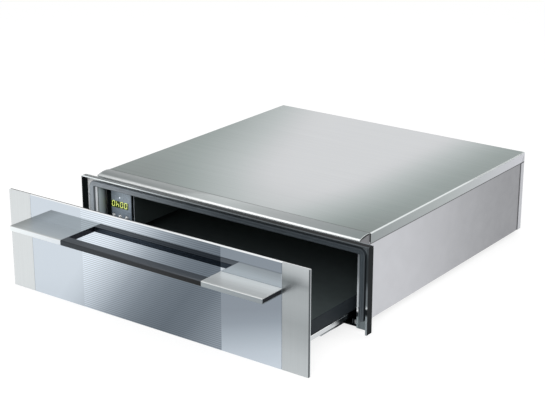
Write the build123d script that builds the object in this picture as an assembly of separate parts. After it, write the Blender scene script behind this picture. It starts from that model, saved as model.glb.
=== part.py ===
from build123d import *
import math
import os

os.makedirs("parts", exist_ok=True)

# Built in warming drawer, pulled part way out.  Millimetres, +Z up, +X to the right as seen
# from the front, +Y towards the back.  The origin is the centre of the base pan's flat
# underside.  The drawer is drawn where it stands in the photograph.

# ---- driving sizes: body ----
body_width = 537.0           # across the side flanges of the top cover
body_depth = 546.0           # front of the frame plate to the outside of the back panel
body_height = 155.0          # underside of the base pan to the top face
sheet = 1.0                  # body sheet thickness
side_lift = 9.5              # lower edge of the side panels above the base
side_flange_width = 14.0     # inward flanges of the side panels, top and rear
cover_flange_height = 17.0   # side flanges of the top cover
cover_front_setback = 31.0   # frame front to the start of the cover's sloping lip
lip_setback = 2.0            # frame front to the lip's front edge
lip_drop = 3.2               # how far the lip's front edge lies below the top face
lip_bulge = 1.1              # rise of the lip's round profile over its chord
lip_hem = 1.8                # thickness of the lip's front edge
back_wrap = 11.0             # how far the back panel wraps forward round each side
corner_cut = 13.0            # height of the slanted cut where cover and back panel meet
corner_slit = 0.5            # slit left between cover and back panel there

# ---- driving sizes: base ----
base_margin_x = 47.0         # body side to the base pan's flat
base_margin_y = 20.0         # body front and back to the base pan's flat

# ---- driving sizes: front frame ----
frame_reach = 23.5           # frame plate out from the opening's edge, on each side
frame_lift = 8.0             # lower end of the frame legs above the base
frame_step = 5.0             # top of the body to the frame's folded flange
frame_head = 17.5            # frame plate above the opening
shroud_depth = 12.0          # how far the strips and the top flange stand forward
strip_thickness = 3.0        # black side strips
strip_lift = 6.0             # lower end of the strips
strip_flange = 17.0          # flange of each strip behind the frame plate
gasket_width = 9.5
gasket_depth = 5.2           # how far the gasket stands in front of the frame plate
gasket_side_gap = 6.5        # opening edge to the gasket, at the sides
gasket_corner = 11.0         # outer corner radius
gasket_foot = 22.0           # lower end of the gasket above the base
pin_head_radius = 2.4        # pins at the gasket's lower ends
pin_head_height = 0.9
pin_sink = 0.3               # pin heads behind the gasket's face
fixing_hole_radius = 2.25
fixing_hole_inset = 4.5      # fixing holes from the frame's edge
fixing_low = 43.5            # height of the lower fixing holes
fixing_drop = 36.5           # upper fixing holes below the frame's top
post_length = 18.0           # corner posts, along the depth
post_bulge = 2.0             # corner posts, out from the side panel
post_foot = 24.0             # lower end of the posts above the base

# ---- driving sizes: lining ----
roof_step = 5.5              # top of the opening to the cavity's roof
partition_gap = 6.5          # middle of the partition from the control unit
back_space = 83.0            # cavity's back to the outside of the back panel
lining = 1.0                 # lining sheet
lining_gap = 4.0             # partition above the tray's walls
pad_inset = 18.0             # insulation pad, in from the body's sides
lid_gap = 0.5                # insulation pad and side panels to the top cover above them

# ---- driving sizes: control unit ----
fascia_setback = 26.0        # frame front to the fascia's face
fascia_thickness = 2.0
fascia_width = 49.0
fascia_edge = 2.0            # side panel to the fascia
fascia_inset = 1.5           # fascia's lower edge above the housing's underside
housing_gap = 5.0            # housing above the tray's walls
housing_width = 51.5
housing_depth = 137.0
rim_width = 6.0              # black rim at the left of the fascia
rim_forward = 3.0            # how far the rim stands in front of the fascia
window_width = 40.0
window_height = 12.5
window_left = 3.5            # fascia's left edge to the window
window_below = 4.5           # middle of the window below the middle of the fascia
window_sink = 0.5            # window face behind the fascia's face
window_gap = 0.2
board_thickness = 1.6
board_inset = 4.0            # circuit board above the housing's underside
board_drop = 20.0            # cavity's roof to the circuit board's upper edge
led_radius = 1.1
led_rise = 7.0               # window to the lamp above it
led_proud = 0.6
button_radius = 4.0
button_pitch = 15.0
button_rise = 11.5           # fascia's lower edge to the buttons
button_rounding = 0.8
button_proud = 2.5           # caps in front of the fascia
button_flange = 0.9          # rim behind the fascia that keeps a cap in
button_flange_thickness = 0.8
button_gap = 0.3             # running gap round a cap
button_travel = 1.0
key_gap = 0.3                # key switch to the rim of a cap pressed home
key_switch_size = 6.0
key_switch_height = 1.6

# ---- driving sizes: drawer and front ----
drawer_open = 158.0          # how far the drawer stands open
closed_gap = 0.5             # front to the black strips when shut
front_overhang = 5.5         # front beyond the black strips, on each side
front_rise = 14.0            # front above the top of the body
front_lift = 1.0             # lower edge of the front above the base
backplate_thickness = 1.5
glass_thickness = 3.5
end_strip_width = 47.2       # steel strips beside the glass
trim_gap = 0.3               # joint between the glass and the steel strips
inner_front_depth = 7.0
inner_front_gap = 4.0        # inner front to the black strips
inner_front_low = 12.5
inner_front_drop = 4.5       # inner front below the frame's folded flange
tray_side_gap = 8.5          # tray to the side panels
tray_rear_gap = 13.5         # tray to the cavity's back when shut
tray_floor = 33.0            # underside of the tray
tray_wall_height = 24.0
tray_sheet = 1.2
mat_thickness = 2.0
mat_gap = 2.0

# ---- driving sizes: handle ----
handle_drop = 39.4           # top of the front to the top of the handle
shelf_thickness = 9.0
shelf_reach = 47.0           # how far the handle stands out from the glass
shelf_length = 111.0
shelf_wall = 1.4
shelf_edge_radius = 1.6
insert_gap = 0.05            # insert to the inside of the shelf
insert_sink = 0.6            # insert's outer end behind the shelf's end
bar_depth = 17.5
tongue_length = 22.0
tongue_depth = 11.0
tongue_height = 4.0
tongue_gap = 0.1

# ---- driving sizes: rails ----
rail_rear_gap = 9.0          # fixed rails to the cavity's back
rail_front_gap = 4.0         # frame front to the fixed rail's front end
rail_sheet = 1.5
drawer_rail_width = 30.0
drawer_rail_drop = 8.0
middle_rail_width = 18.0
middle_rail_web = 3.0
ball_radius = 2.25
ball_gap = 0.25              # ball to each rail
ball_pitch = 40.0
ball_count = 6
ball_rows = 10.0             # distance between the two rows
cage_thickness = 1.0
cage_hole_gap = 0.3
cage_width = 16.0
cage_end = 8.0               # cage beyond its last ball
cabinet_lip = 9.0            # inner lips of the fixed rail
cabinet_lip_width = 30.0
stop_radius = 2.8
stop_height = 6.0
stop_rounding = 0.9
stop_inset = 4.5             # stop pin from the side panel's inner face

# ---- driving sizes: warm air unit ----
fan_x = 40.0
impeller_gap = 3.25          # impeller to the heater
impeller_depth = 12.0
hub_radius = 7.0
shaft_radius = 2.5
shaft_gap = 0.1
blade_count = 9
blade_thickness = 1.2
blade_root = 6.0
blade_end_gap = 1.0          # blades end inside the disc
blade_lean = 35.0            # degrees
fan_box_width = 110.0
fan_box_gap = 3.0            # fan housing above the tray's walls
fan_box_depth = 31.0
impeller_front_gap = 4.0     # cavity back to the impeller
motor_radius = 22.0
motor_length = 24.0
motor_rounding = 2.7
shaft_reach = 12.0           # shaft inside the motor
shaft_end_gap = 6.0          # end of the shaft to the bottom of its bore
heater_gap = 3.75            # heater to the walls of the fan housing
heater_tube_radius = 2.75
heater_open_angle = 60.0     # gap in the ring
heater_tail = 8.0            # ends beyond the fan housing
grille_pitch = 7.0
grille_slot_height = 3.0
outlet_width = 3.0           # upright slots at both sides of the inlet
outlet_height = 27.0
thermostat_radius = 8.0
thermostat_height = 9.0
thermostat_x = 84.0
tab_length = 6.0             # flat terminals
tab_width = 6.3
tab_thickness = 0.8

# ---- driving sizes: connection and fasteners ----
gland_inset = 147.5          # side panel to the cable gland, at the left
gland_z = 50.0
gland_thread = 8.0
gland_bore = 4.2
gland_flange = 12.0
gland_flange_height = 3.0
gland_dome = 10.0
gland_dome_height = 13.0
gland_rounding = 2.5
gland_nut = 3.0
terminal_inset = 82.5        # side panel to the middle of the terminal block
terminal_width = 50.0
terminal_low = 36.0
terminal_height = 34.0
terminal_depth = 20.0
chamber_pitch = 14.7         # clamp chambers of the terminal block
chamber_width = 8.0
chamber_height = 12.0
chamber_depth = 11.0
clamp_hole_radius = 3.2
clamp_hole_height = 22.0
switch_x = 150.0
switch_width = 30.0
switch_height = 6.5
switch_depth = 8.0
magnet_width = 15.0
magnet_height = 5.0
magnet_depth = 3.0
screw_radius = 1.9
screw_clearance = 0.1
screw_head_radius = 3.5
screw_head_height = 2.0
screw_head_rounding = 0.7
screw_length = 5.0
back_screw_inset = 20.0      # back panel's screws from its lower and upper edges
rail_screw_inset = 45.0      # outer screws from the ends of a fixed rail
tray_screw_inset = 52.0      # outer screws from the tray's sides
tray_screw_pitch = 110.0
handle_screw_inset = 22.0    # screws from the ends of each shelf
handle_screw_grip = 18.0     # depth of thread in the handle
handle_screw_radius = 2.0

# ---- places worked out from the sizes ----
side_outer = body_width / 2 - sheet              # outer face of a side panel
side_inner = side_outer - sheet
frame_front = -body_depth / 2                    # front face of the frame plate
frame_back = frame_front + sheet
body_back = body_depth / 2
shroud_front = frame_front - shroud_depth
cover_underside = body_height - sheet
flange_low = body_height - cover_flange_height
lip_start = frame_front + cover_front_setback
lip_end = frame_front + lip_setback
opening_half = side_inner
frame_top = body_height - frame_step             # top face of the frame's folded flange
opening_top = frame_top - frame_head
roof_height = opening_top + roof_step            # underside of the cavity's roof
fixing_high = frame_top - fixing_drop
gasket_inner = opening_half + gasket_side_gap
gasket_front = frame_front - gasket_depth
strip_inner = opening_half + frame_reach
strip_outer = strip_inner + strip_thickness
fixing_x = strip_inner - fixing_hole_inset
base_half_x = body_width / 2 - base_margin_x
base_half_y = body_depth / 2 - base_margin_y
base_rim = side_lift + sheet                     # top face of the base pan's rim
cavity_back_y = body_back - back_space
gland_x = -side_outer + gland_inset
terminal_x = -side_outer + terminal_inset

front_half = strip_outer + front_overhang
front_top = body_height + front_rise
front_back = shroud_front - closed_gap - drawer_open   # rear face of the front
front_face = front_back - backplate_thickness - glass_thickness
inner_front_back = front_back + inner_front_depth
inner_front_half = strip_inner - inner_front_gap
inner_front_high = frame_top - sheet - inner_front_drop
tray_front = inner_front_back
tray_back = cavity_back_y - tray_rear_gap - drawer_open
tray_half = side_inner - tray_side_gap
wall_top = tray_floor + tray_wall_height
glass_half = front_half - end_strip_width - trim_gap
shelf_top = front_top - handle_drop
handle_front = front_face - shelf_reach
shelf_low = shelf_top - shelf_thickness
shelf_inner = glass_half - shelf_length

rail_x = tray_half - drawer_rail_width / 2       # centre line of a rail
rail_front = frame_front + rail_front_gap
rail_length = cavity_back_y - rail_rear_gap - rail_front
middle_shift = drawer_open / 2                   # the middle rail goes half as far
lower_cage_shift = drawer_open / 4
upper_cage_shift = drawer_open * 3 / 4
ball_space = 2 * (ball_radius + ball_gap)
cabinet_rail_top = base_rim + rail_sheet
middle_low = cabinet_rail_top + ball_space
drawer_rail_plate = tray_floor - rail_sheet
middle_high = drawer_rail_plate - ball_space

fascia_face = frame_front + fascia_setback
fascia_back = fascia_face + fascia_thickness
fascia_left = -side_inner + fascia_edge
housing_right = -side_inner + housing_width
housing_back = fascia_back + housing_depth
cap_depth = button_gap + button_flange_thickness + button_travel
board_front = fascia_back + cap_depth + key_gap + key_switch_height
window_x = fascia_left + window_left + window_width / 2
housing_low = wall_top + housing_gap
fascia_low = housing_low + fascia_inset
fascia_high = roof_height - sheet
window_low = (fascia_low + fascia_high - window_height) / 2 - window_below
led_height = window_low + window_height + led_rise
button_height = fascia_low + button_rise
partition_x = housing_right + partition_gap
fan_box_low = wall_top + fan_box_gap
fan_box_top = roof_height - sheet
fan_height = (fan_box_low + fan_box_top) / 2
heater_reach = (fan_box_top - fan_box_low) / 2 - sheet - heater_gap    # outside of the ring
heater_radius = heater_reach - heater_tube_radius
impeller_radius = heater_radius - heater_tube_radius - impeller_gap
grille_slots = int(2 * impeller_radius / grille_pitch)   # as many as fit before the impeller
fan_box_back = cavity_back_y + lining + fan_box_depth
impeller_front = cavity_back_y + lining + impeller_front_gap
impeller_back = impeller_front + impeller_depth
heater_y = (impeller_front + impeller_back) / 2


cut = 1.0                                        # how far a cutting shape reaches past a face


def block(x, y, z):
    """A box between two values on each axis."""
    size = [high - low for low, high in (x, y, z)]
    middle = [(low + high) / 2 for low, high in (x, y, z)]
    return Pos(*middle) * Box(*size)


def round_y(radius, x, z, y):
    """A cylinder along the depth, between two y values."""
    return Pos(x, (y[0] + y[1]) / 2, z) * Rot(90, 0, 0) * Cylinder(radius, y[1] - y[0])


def round_z(radius, x, y, z):
    """An upright cylinder, between two z values."""
    return Pos(x, y, (z[0] + z[1]) / 2) * Cylinder(radius, z[1] - z[0])


def across(profile, x):
    """An outline of (y, z) points, drawn out across the width between two x values."""
    face = make_face(Polyline(*[(x[0], y, z) for y, z in profile], close=True).edges())
    return extrude(face, amount=x[1] - x[0], dir=(1, 0, 0))


def both_sides(right):
    """The right hand piece and its mirror image, keyed by side."""
    return {"right": right, "left": mirror(right, about=Plane.YZ)}


def save(shape, name):
    solids = shape.solids()
    export_step(solids[0] if len(solids) == 1 else Compound(children=solids), f"parts/{name}.step")


# ---------------------------------------------------------------- body sheets
def top_cover():
    """Flat lid with two bent side flanges and a convex front lip that slopes down."""
    half = body_width / 2
    flat = block((-half, half), (lip_start, body_back), (cover_underside, body_height))
    rear_corner = body_back - back_wrap
    flange = [
        (lip_start, body_height),
        (lip_start, flange_low),
        (rear_corner, flange_low),
        (body_back, flange_low + corner_cut),
        (body_back, body_height),
    ]
    right = across(flange, (side_outer, half))
    left = across(flange, (-half, -side_outer))
    middle = ((lip_start + lip_end) / 2, body_height - lip_drop / 2 + lip_bulge)
    lip_low = body_height - lip_drop
    outer = ThreePointArc((0, lip_start, body_height), (0, *middle), (0, lip_end, lip_low))
    inner = ThreePointArc(
        (0, lip_end, lip_low - lip_hem),
        (0, middle[0], middle[1] - sheet),
        (0, lip_start, cover_underside),
    )
    hem = Line((0, lip_end, lip_low), (0, lip_end, lip_low - lip_hem))
    joint = Line((0, lip_start, cover_underside), (0, lip_start, body_height))
    profile = make_face([outer, hem, inner, joint])
    lip = Pos(-half, 0, 0) * extrude(profile, amount=body_width, dir=(1, 0, 0))
    return flat + right + left + lip


def side_panel():
    """Right body side: web, top flange under the cover and rear flange for the screws."""
    lip_room = body_height - lip_drop - lip_hem - lid_gap
    web = [
        (frame_back, side_lift),
        (body_back - sheet, side_lift),
        (body_back - sheet, cover_underside),
        (lip_start, cover_underside),
        (frame_back, lip_room),
    ]
    panel = across(web, (side_inner, side_outer))
    inward = (side_inner - side_flange_width + sheet, side_inner)
    top_y = (lip_start, body_back - sheet)
    top = block(inward, top_y, (cover_underside - sheet, cover_underside))
    rear_y = (body_back - 2 * sheet, body_back - sheet)
    rear = block(inward, rear_y, (base_rim, cover_underside))
    return panel + top + rear - back_screw_holes(1)


def back_screw_places(side):
    x = side * (side_inner - side_flange_width / 2 + sheet / 2)
    low = base_rim + back_screw_inset
    high = cover_underside - back_screw_inset
    return [(x, low), (x, (low + high) / 2), (x, high)]


def back_screw_holes(side):
    """Holes for the screws that hold the back panel to one side panel."""
    depth = (body_back - 2 * sheet - cut, body_back + cut)
    holes = [round_y(screw_radius + screw_clearance, x, z, depth) for x, z in back_screw_places(side)]
    return Part() + holes


def back_panel():
    """Back sheet, wrapped forward round both sides, with a hole for the cable gland."""
    half = body_width / 2
    plate_x = (-side_outer, side_outer)
    panel = block(plate_x, (body_back - sheet, body_back), (side_lift, cover_underside))
    rear_corner = body_back - back_wrap
    wrap = [
        (rear_corner, side_lift),
        (body_back, side_lift),
        (body_back, flange_low + corner_cut - corner_slit),
        (rear_corner, flange_low - corner_slit),
    ]
    for low, high in ((side_outer, half), (-half, -side_outer)):
        panel += across(wrap, (low, high))
    through = (body_back - 2 * sheet, body_back + cut)
    gland = round_y(gland_thread + screw_clearance, gland_x, gland_z, through)
    return panel - back_screw_holes(1) - back_screw_holes(-1) - gland


def base_pan():
    """Pressed pan: a flat bottom to stand on and a raised rim that carries the rails."""
    rim = block((-side_inner, side_inner), (frame_back, body_back - 2 * sheet), (side_lift, base_rim))
    deep = block((-base_half_x, base_half_x), (-base_half_y, base_half_y), (0, base_rim))
    inside_x = (-base_half_x + sheet, base_half_x - sheet)
    inside_y = (-base_half_y + sheet, base_half_y - sheet)
    pan = rim + deep - block(inside_x, inside_y, (sheet, base_rim + cut))
    for side in (1, -1):
        for x, y in rail_screw_places(side):
            pan -= round_z(screw_radius + screw_clearance, x, y, (side_lift - cut, base_rim + cut))
    return pan


# ---------------------------------------------------------------- front frame
def front_frame():
    """Frame plate round the opening, with its top edge folded forward over the black strips."""
    plate_x = (-strip_inner, strip_inner)
    plate = block(plate_x, (frame_front, frame_back), (frame_lift, frame_top))
    fold_x = (-strip_outer, strip_outer)
    fold = block(fold_x, (shroud_front, frame_front), (frame_top - sheet, frame_top))
    gap_y = (frame_front - cut, frame_back + cut)
    opening = block((-opening_half, opening_half), gap_y, (frame_lift - cut, opening_top))
    frame = plate + fold - opening
    for x, z in fixing_places():
        frame -= round_y(fixing_hole_radius, x, z, gap_y)
    for x in (gasket_pin_x(), -gasket_pin_x()):
        frame -= round_y(pin_shank() + screw_clearance, x, gasket_pin_z(), gap_y)
    return frame


def fixing_places():
    return [(x, z) for x in (-fixing_x, fixing_x) for z in (fixing_low, fixing_high)]


def shroud_strip():
    """Right black strip: an upright plate with a flange behind the frame plate."""
    height = (strip_lift, frame_top - sheet)
    blade = block((strip_inner, strip_outer), (shroud_front, frame_back + sheet), height)
    behind_x = (strip_inner - strip_flange, strip_inner)
    flange = block(behind_x, (frame_back, frame_back + sheet), (frame_lift, frame_top - 2 * sheet))
    strip = blade + flange
    for z in (fixing_low, fixing_high):
        strip -= round_y(fixing_hole_radius, fixing_x, z, (frame_front, frame_back + 2 * sheet))
    return strip


def gasket_pin_x():
    return gasket_inner + gasket_width / 2


def gasket_pin_z():
    return gasket_foot + gasket_width / 2


def pin_shank():
    return pin_head_radius / 2


def pin_seat():
    """Where the underside of a pin head rests, in its recess in the gasket."""
    return gasket_front + pin_sink + pin_head_height


def door_gasket():
    """Soft seal round the top and both sides, with round corners and round lower ends."""
    inner = gasket_inner
    outer = gasket_inner + gasket_width
    top = opening_top + gasket_width
    depth = (gasket_front, frame_front)
    foot = gasket_pin_z()
    body = block((-outer, outer), depth, (foot, top))
    upper = body.edges().filter_by(Axis.Y).group_by(Axis.Z)[-1]
    body = fillet(upper, gasket_corner)
    wide = (gasket_front - cut, frame_front + cut)
    body -= block((-inner, inner), wide, (foot - cut, opening_top))
    for x in (gasket_pin_x(), -gasket_pin_x()):
        body += round_y(gasket_width / 2, x, foot, depth)
        body -= round_y(pin_shank() + screw_clearance, x, foot, wide)
        recess = (gasket_front - cut, pin_seat())
        body -= round_y(pin_head_radius + screw_clearance, x, foot, recess)
    return body


def gasket_pins():
    """Two pins that hold the gasket's lower ends to the frame."""
    pins = []
    for x in (gasket_pin_x(), -gasket_pin_x()):
        head_y = (gasket_front + pin_sink, pin_seat())
        head = round_y(pin_head_radius, x, gasket_pin_z(), head_y)
        shank = round_y(pin_shank(), x, gasket_pin_z(), (pin_seat(), frame_back))
        pins.append(head + shank)
    return pins


def corner_post():
    """Right corner post: a rounded upright against the side panel, just behind the frame."""
    near = (side_inner, frame_back, post_foot)
    far = (side_inner, frame_back + post_length, post_foot)
    crown = (side_inner - post_bulge, frame_back + post_length / 2, post_foot)
    profile = make_face([Line(near, far), ThreePointArc(far, crown, near)])
    return extrude(profile, amount=roof_height - post_foot, dir=(0, 0, 1))


# ---------------------------------------------------------------- lining of the warm space
def cavity_roof():
    return block((-side_inner, side_inner), (frame_back, fan_box_back), (roof_height, roof_height + lining))


def insulation_pad():
    half = side_inner - pad_inset
    low = roof_height + lining
    return block((-half, half), (lip_start, fan_box_back), (low, cover_underside - lid_gap))


def cavity_partition():
    x = (partition_x - lining / 2, partition_x + lining / 2)
    return block(x, (fascia_face, cavity_back_y), (wall_top + lining_gap, roof_height))


def cavity_back():
    """Back of the warm space, with inlet slots before the fan and outlet slots beside it."""
    depth = (cavity_back_y, cavity_back_y + lining)
    sheet_back = block((-side_inner, side_inner), depth, (base_rim, roof_height))
    through = (cavity_back_y - cut, cavity_back_y + lining + cut)
    middle = (grille_slots - 1) / 2
    for row in range(grille_slots):
        offset = (row - middle) * grille_pitch
        z = (fan_height + offset - grille_slot_height / 2, fan_height + offset + grille_slot_height / 2)
        half = math.sqrt(impeller_radius**2 - offset**2)
        sheet_back -= block((fan_x - half, fan_x + half), through, z)
    outlet_z = (fan_height - outlet_height / 2, fan_height + outlet_height / 2)
    for side in (1, -1):
        x = fan_x + side * heater_radius
        outlet_x = (x - outlet_width / 2, x + outlet_width / 2)
        sheet_back -= block(outlet_x, through, outlet_z)
    return sheet_back


# ---------------------------------------------------------------- control unit
def control_housing():
    """Sheet box behind the fascia, open to the front, with a black rim at its left."""
    left = -side_inner
    outer = block((left, housing_right), (fascia_back, housing_back), (housing_low, roof_height))
    inside_x = (left + sheet, housing_right - sheet)
    inside_y = (fascia_back - cut, housing_back - sheet)
    inside = block(inside_x, inside_y, (housing_low + sheet, roof_height - sheet))
    rim_y = (fascia_face - rim_forward, fascia_face)
    rim = block((left, left + rim_width), rim_y, (housing_low, roof_height))
    neck = block((left, fascia_left), (fascia_face, fascia_back), (housing_low, roof_height))
    return outer - inside + rim + neck


def button_places():
    middle = window_x
    return [(middle + step * button_pitch, button_height) for step in (-1, 0, 1)]


def control_fascia():
    """Grey face plate with a window, a lamp hole and three button holes."""
    x = (fascia_left, fascia_left + fascia_width)
    plate = block(x, (fascia_face, fascia_back), (fascia_low, fascia_high))
    through = (fascia_face - cut, fascia_back + cut)
    half = window_width / 2
    window_z = (window_low, window_low + window_height)
    plate -= block((window_x - half, window_x + half), through, window_z)
    plate -= round_y(led_radius + window_gap, window_x, led_height, through)
    for button_x, z in button_places():
        plate -= round_y(button_radius + button_gap, button_x, z, through)
    return plate


def display_module():
    half = window_width / 2 - window_gap
    z = (window_low + window_gap, window_low + window_height - window_gap)
    return block((window_x - half, window_x + half), (fascia_face + window_sink, board_front), z)


def circuit_board():
    """Board across the housing, with one key switch behind each button."""
    x = (-side_inner + sheet, housing_right - sheet)
    z = (housing_low + board_inset, roof_height - board_drop)
    board = block(x, (board_front, board_front + board_thickness), z)
    half = key_switch_size / 2
    for key_x, z in button_places():
        key_y = (board_front - key_switch_height, board_front)
        board += block((key_x - half, key_x + half), key_y, (z - half, z + half))
    return board


def indicator_led():
    front = fascia_face - led_proud
    stem = round_y(led_radius, window_x, led_height, (front + led_radius, board_front))
    return stem + Pos(window_x, front + led_radius, led_height) * Sphere(led_radius)


def push_button(x, z):
    """Round cap with a rim behind the fascia."""
    rim_front = fascia_back + button_gap
    rim_back = rim_front + button_flange_thickness
    cap = round_y(button_radius, x, z, (fascia_face - button_proud, rim_front))
    rim = round_y(button_radius + button_flange, x, z, (rim_front, rim_back))
    front_edge = cap.edges().sort_by(Axis.Y)[0]
    return fillet(front_edge, button_rounding) + rim


# ---------------------------------------------------------------- warm air unit
def fan_housing():
    """Box behind the cavity's back that holds the fan, its heater and the motor."""
    x = (fan_x - fan_box_width / 2, fan_x + fan_box_width / 2)
    front = cavity_back_y + lining
    outer = block(x, (front, fan_box_back), (fan_box_low, fan_box_top))
    inside_x = (x[0] + sheet, x[1] - sheet)
    inside_z = (fan_box_low + sheet, fan_box_top - sheet)
    box = outer - block(inside_x, (front - cut, fan_box_back - sheet), inside_z)
    through = (fan_box_back - sheet - cut, fan_box_back + cut)
    box -= round_y(shaft_radius + 2 * button_gap, fan_x, fan_height, through)
    for x_end, z_end in heater_ends():
        box -= round_y(heater_tube_radius + screw_clearance, x_end, z_end, through)
    return box


def heater_ends():
    """Where the two straight ends of the heater go back through the housing."""
    ends = []
    for angle in (-90 + heater_open_angle / 2, -90 - heater_open_angle / 2):
        x = fan_x + heater_radius * math.cos(math.radians(angle))
        z = fan_height + heater_radius * math.sin(math.radians(angle))
        ends.append((x, z))
    return ends


def heating_element():
    """Open ring of tube round the impeller, both ends bent straight back."""
    (x1, z1), (x2, z2) = heater_ends()
    arc = ThreePointArc(
        (x1, heater_y, z1), (fan_x, heater_y, fan_height + heater_radius), (x2, heater_y, z2)
    )
    start = Plane(origin=arc @ 0, z_dir=arc % 0)
    ring = sweep(start * Circle(heater_tube_radius), path=arc)
    for x, z in heater_ends():
        ring += Pos(x, heater_y, z) * Sphere(heater_tube_radius)
        ring += round_y(heater_tube_radius, x, z, (heater_y, fan_box_back + heater_tail))
    return ring


def fan_motor():
    """Round motor on the fan housing, with a bore for the shaft."""
    body = round_y(motor_radius, fan_x, fan_height, (fan_box_back, fan_box_back + motor_length))
    body = fillet(body.edges().sort_by(Axis.Y)[-1], motor_rounding)
    through = (fan_box_back - cut, fan_box_back + shaft_reach + shaft_end_gap)
    return body - round_y(shaft_radius + shaft_gap, fan_x, fan_height, through)


def fan_impeller():
    """Radial impeller with its back disc, hub and pressed in shaft."""
    disc_y = (impeller_back - blade_thickness, impeller_back)
    wheel = round_y(impeller_radius, fan_x, fan_height, disc_y)
    wheel += round_y(hub_radius, fan_x, fan_height, (impeller_front, impeller_back))
    wheel += round_y(shaft_radius, fan_x, fan_height, (impeller_back, fan_box_back + shaft_reach))
    length = impeller_radius - blade_root - blade_end_gap
    for blade in range(blade_count):
        plate = Box(length, impeller_depth - blade_thickness, blade_thickness)
        lean = Pos(blade_root, 0, 0) * Rot(0, blade_lean, 0) * Pos(length / 2, 0, 0) * plate
        turn = Rot(0, 360 / blade_count * blade, 0) * Rot(0, -blade_lean / 2, 0) * lean
        y = (impeller_front + impeller_back - blade_thickness) / 2
        wheel += Pos(fan_x, y, fan_height) * turn
    return wheel


def thermostat():
    y = (fan_box_back, fan_box_back + thermostat_height)
    can = round_y(thermostat_radius, thermostat_x, fan_height, y)
    tab_y = (y[1], y[1] + tab_length)
    tab_z = (fan_height - tab_width / 2, fan_height + tab_width / 2)
    for side in (1, -1):
        x = thermostat_x + side * thermostat_radius / 2
        can += block((x - tab_thickness / 2, x + tab_thickness / 2), tab_y, tab_z)
    return can


# ---------------------------------------------------------------- connection
def terminal_block():
    """Moulded block on the back panel with three clamp chambers."""
    back = body_back - sheet
    x = (terminal_x - terminal_width / 2, terminal_x + terminal_width / 2)
    body = block(x, (back - terminal_depth, back), (terminal_low, terminal_low + terminal_height))
    mouth = (back - terminal_depth - cut, back - terminal_depth + chamber_depth)
    for step in (-1, 0, 1):
        middle = terminal_x + step * chamber_pitch
        chamber_x = (middle - chamber_width / 2, middle + chamber_width / 2)
        body -= block(chamber_x, mouth, (terminal_low - cut, terminal_low + chamber_height))
        body -= round_y(clamp_hole_radius, middle, terminal_low + clamp_hole_height, mouth)
    return body


def cable_gland():
    """Cable inlet: flange and dome outside, thread through the sheet, nut inside."""
    inner = body_back - sheet
    outside = body_back + gland_flange_height
    gland = round_y(gland_flange, gland_x, gland_z, (body_back, outside))
    gland += round_y(gland_dome, gland_x, gland_z, (outside, body_back + gland_dome_height))
    gland = fillet(gland.edges().sort_by(Axis.Y)[-1], gland_rounding)
    gland += round_y(gland_thread, gland_x, gland_z, (inner - 2 * gland_nut, body_back))
    nut = Rot(90, 0, 0) * extrude(RegularPolygon(gland_flange, 6), gland_nut)
    gland += Pos(gland_x, inner, gland_z) * nut
    through = (inner - 3 * gland_nut, body_back + gland_dome_height + cut)
    return gland - round_y(gland_bore, gland_x, gland_z, through)


def door_switch():
    y = (frame_back, frame_back + switch_depth)
    x = (switch_x - switch_width / 2, switch_x + switch_width / 2)
    return block(x, y, (roof_height - switch_height, roof_height))


# ---------------------------------------------------------------- rails
def rail_screw_places(side):
    x = side * (side_inner - stop_inset)
    near = rail_front + rail_screw_inset
    far = rail_front + rail_length - rail_screw_inset
    return [(x, near), (x, (near + far) / 2), (x, far)]


def cabinet_rail():
    """Right fixed rail: a plate on the base pan's rim with two low lips."""
    length = (rail_front, rail_front + rail_length)
    half = cabinet_lip_width / 2
    plate = block((rail_x - half, side_inner), length, (base_rim, cabinet_rail_top))
    lip_top = base_rim + cabinet_lip
    rail = plate + block((rail_x - half, rail_x - half + rail_sheet), length, (base_rim, lip_top))
    rail += block((rail_x + half - rail_sheet, rail_x + half), length, (base_rim, lip_top))
    for x, y in rail_screw_places(1):
        rail -= round_z(screw_radius + screw_clearance, x, y, (base_rim - cut, cabinet_rail_top + cut))
    return rail


def rail_stops():
    """Light pins at the front end of each fixed rail."""
    pins = []
    for side in (1, -1):
        x = side * (side_inner - stop_inset)
        y = rail_front + stop_radius
        pin = round_z(stop_radius, x, y, (cabinet_rail_top, cabinet_rail_top + stop_height))
        pins.append(fillet(pin.edges().sort_by(Axis.Z)[-1], stop_rounding))
    return pins


def middle_rail():
    """Right middle rail: two running plates joined by a web."""
    front = rail_front - middle_shift
    length = (front, front + rail_length)
    x = (rail_x - middle_rail_width / 2, rail_x + middle_rail_width / 2)
    rail = block(x, length, (middle_low, middle_low + rail_sheet))
    rail += block(x, length, (middle_high - rail_sheet, middle_high))
    web = (rail_x - middle_rail_web / 2, rail_x + middle_rail_web / 2)
    return rail + block(web, length, (middle_low, middle_high))


def drawer_rail():
    """Right drawer rail: a channel under the tray, open below."""
    front = rail_front - drawer_open
    length = (front, front + rail_length)
    half = drawer_rail_width / 2
    low = tray_floor - drawer_rail_drop
    rail = block((rail_x - half, rail_x + half), length, (drawer_rail_plate, tray_floor))
    rail += block((rail_x - half, rail_x - half + rail_sheet), length, (low, tray_floor))
    return rail + block((rail_x + half - rail_sheet, rail_x + half), length, (low, tray_floor))


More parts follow.
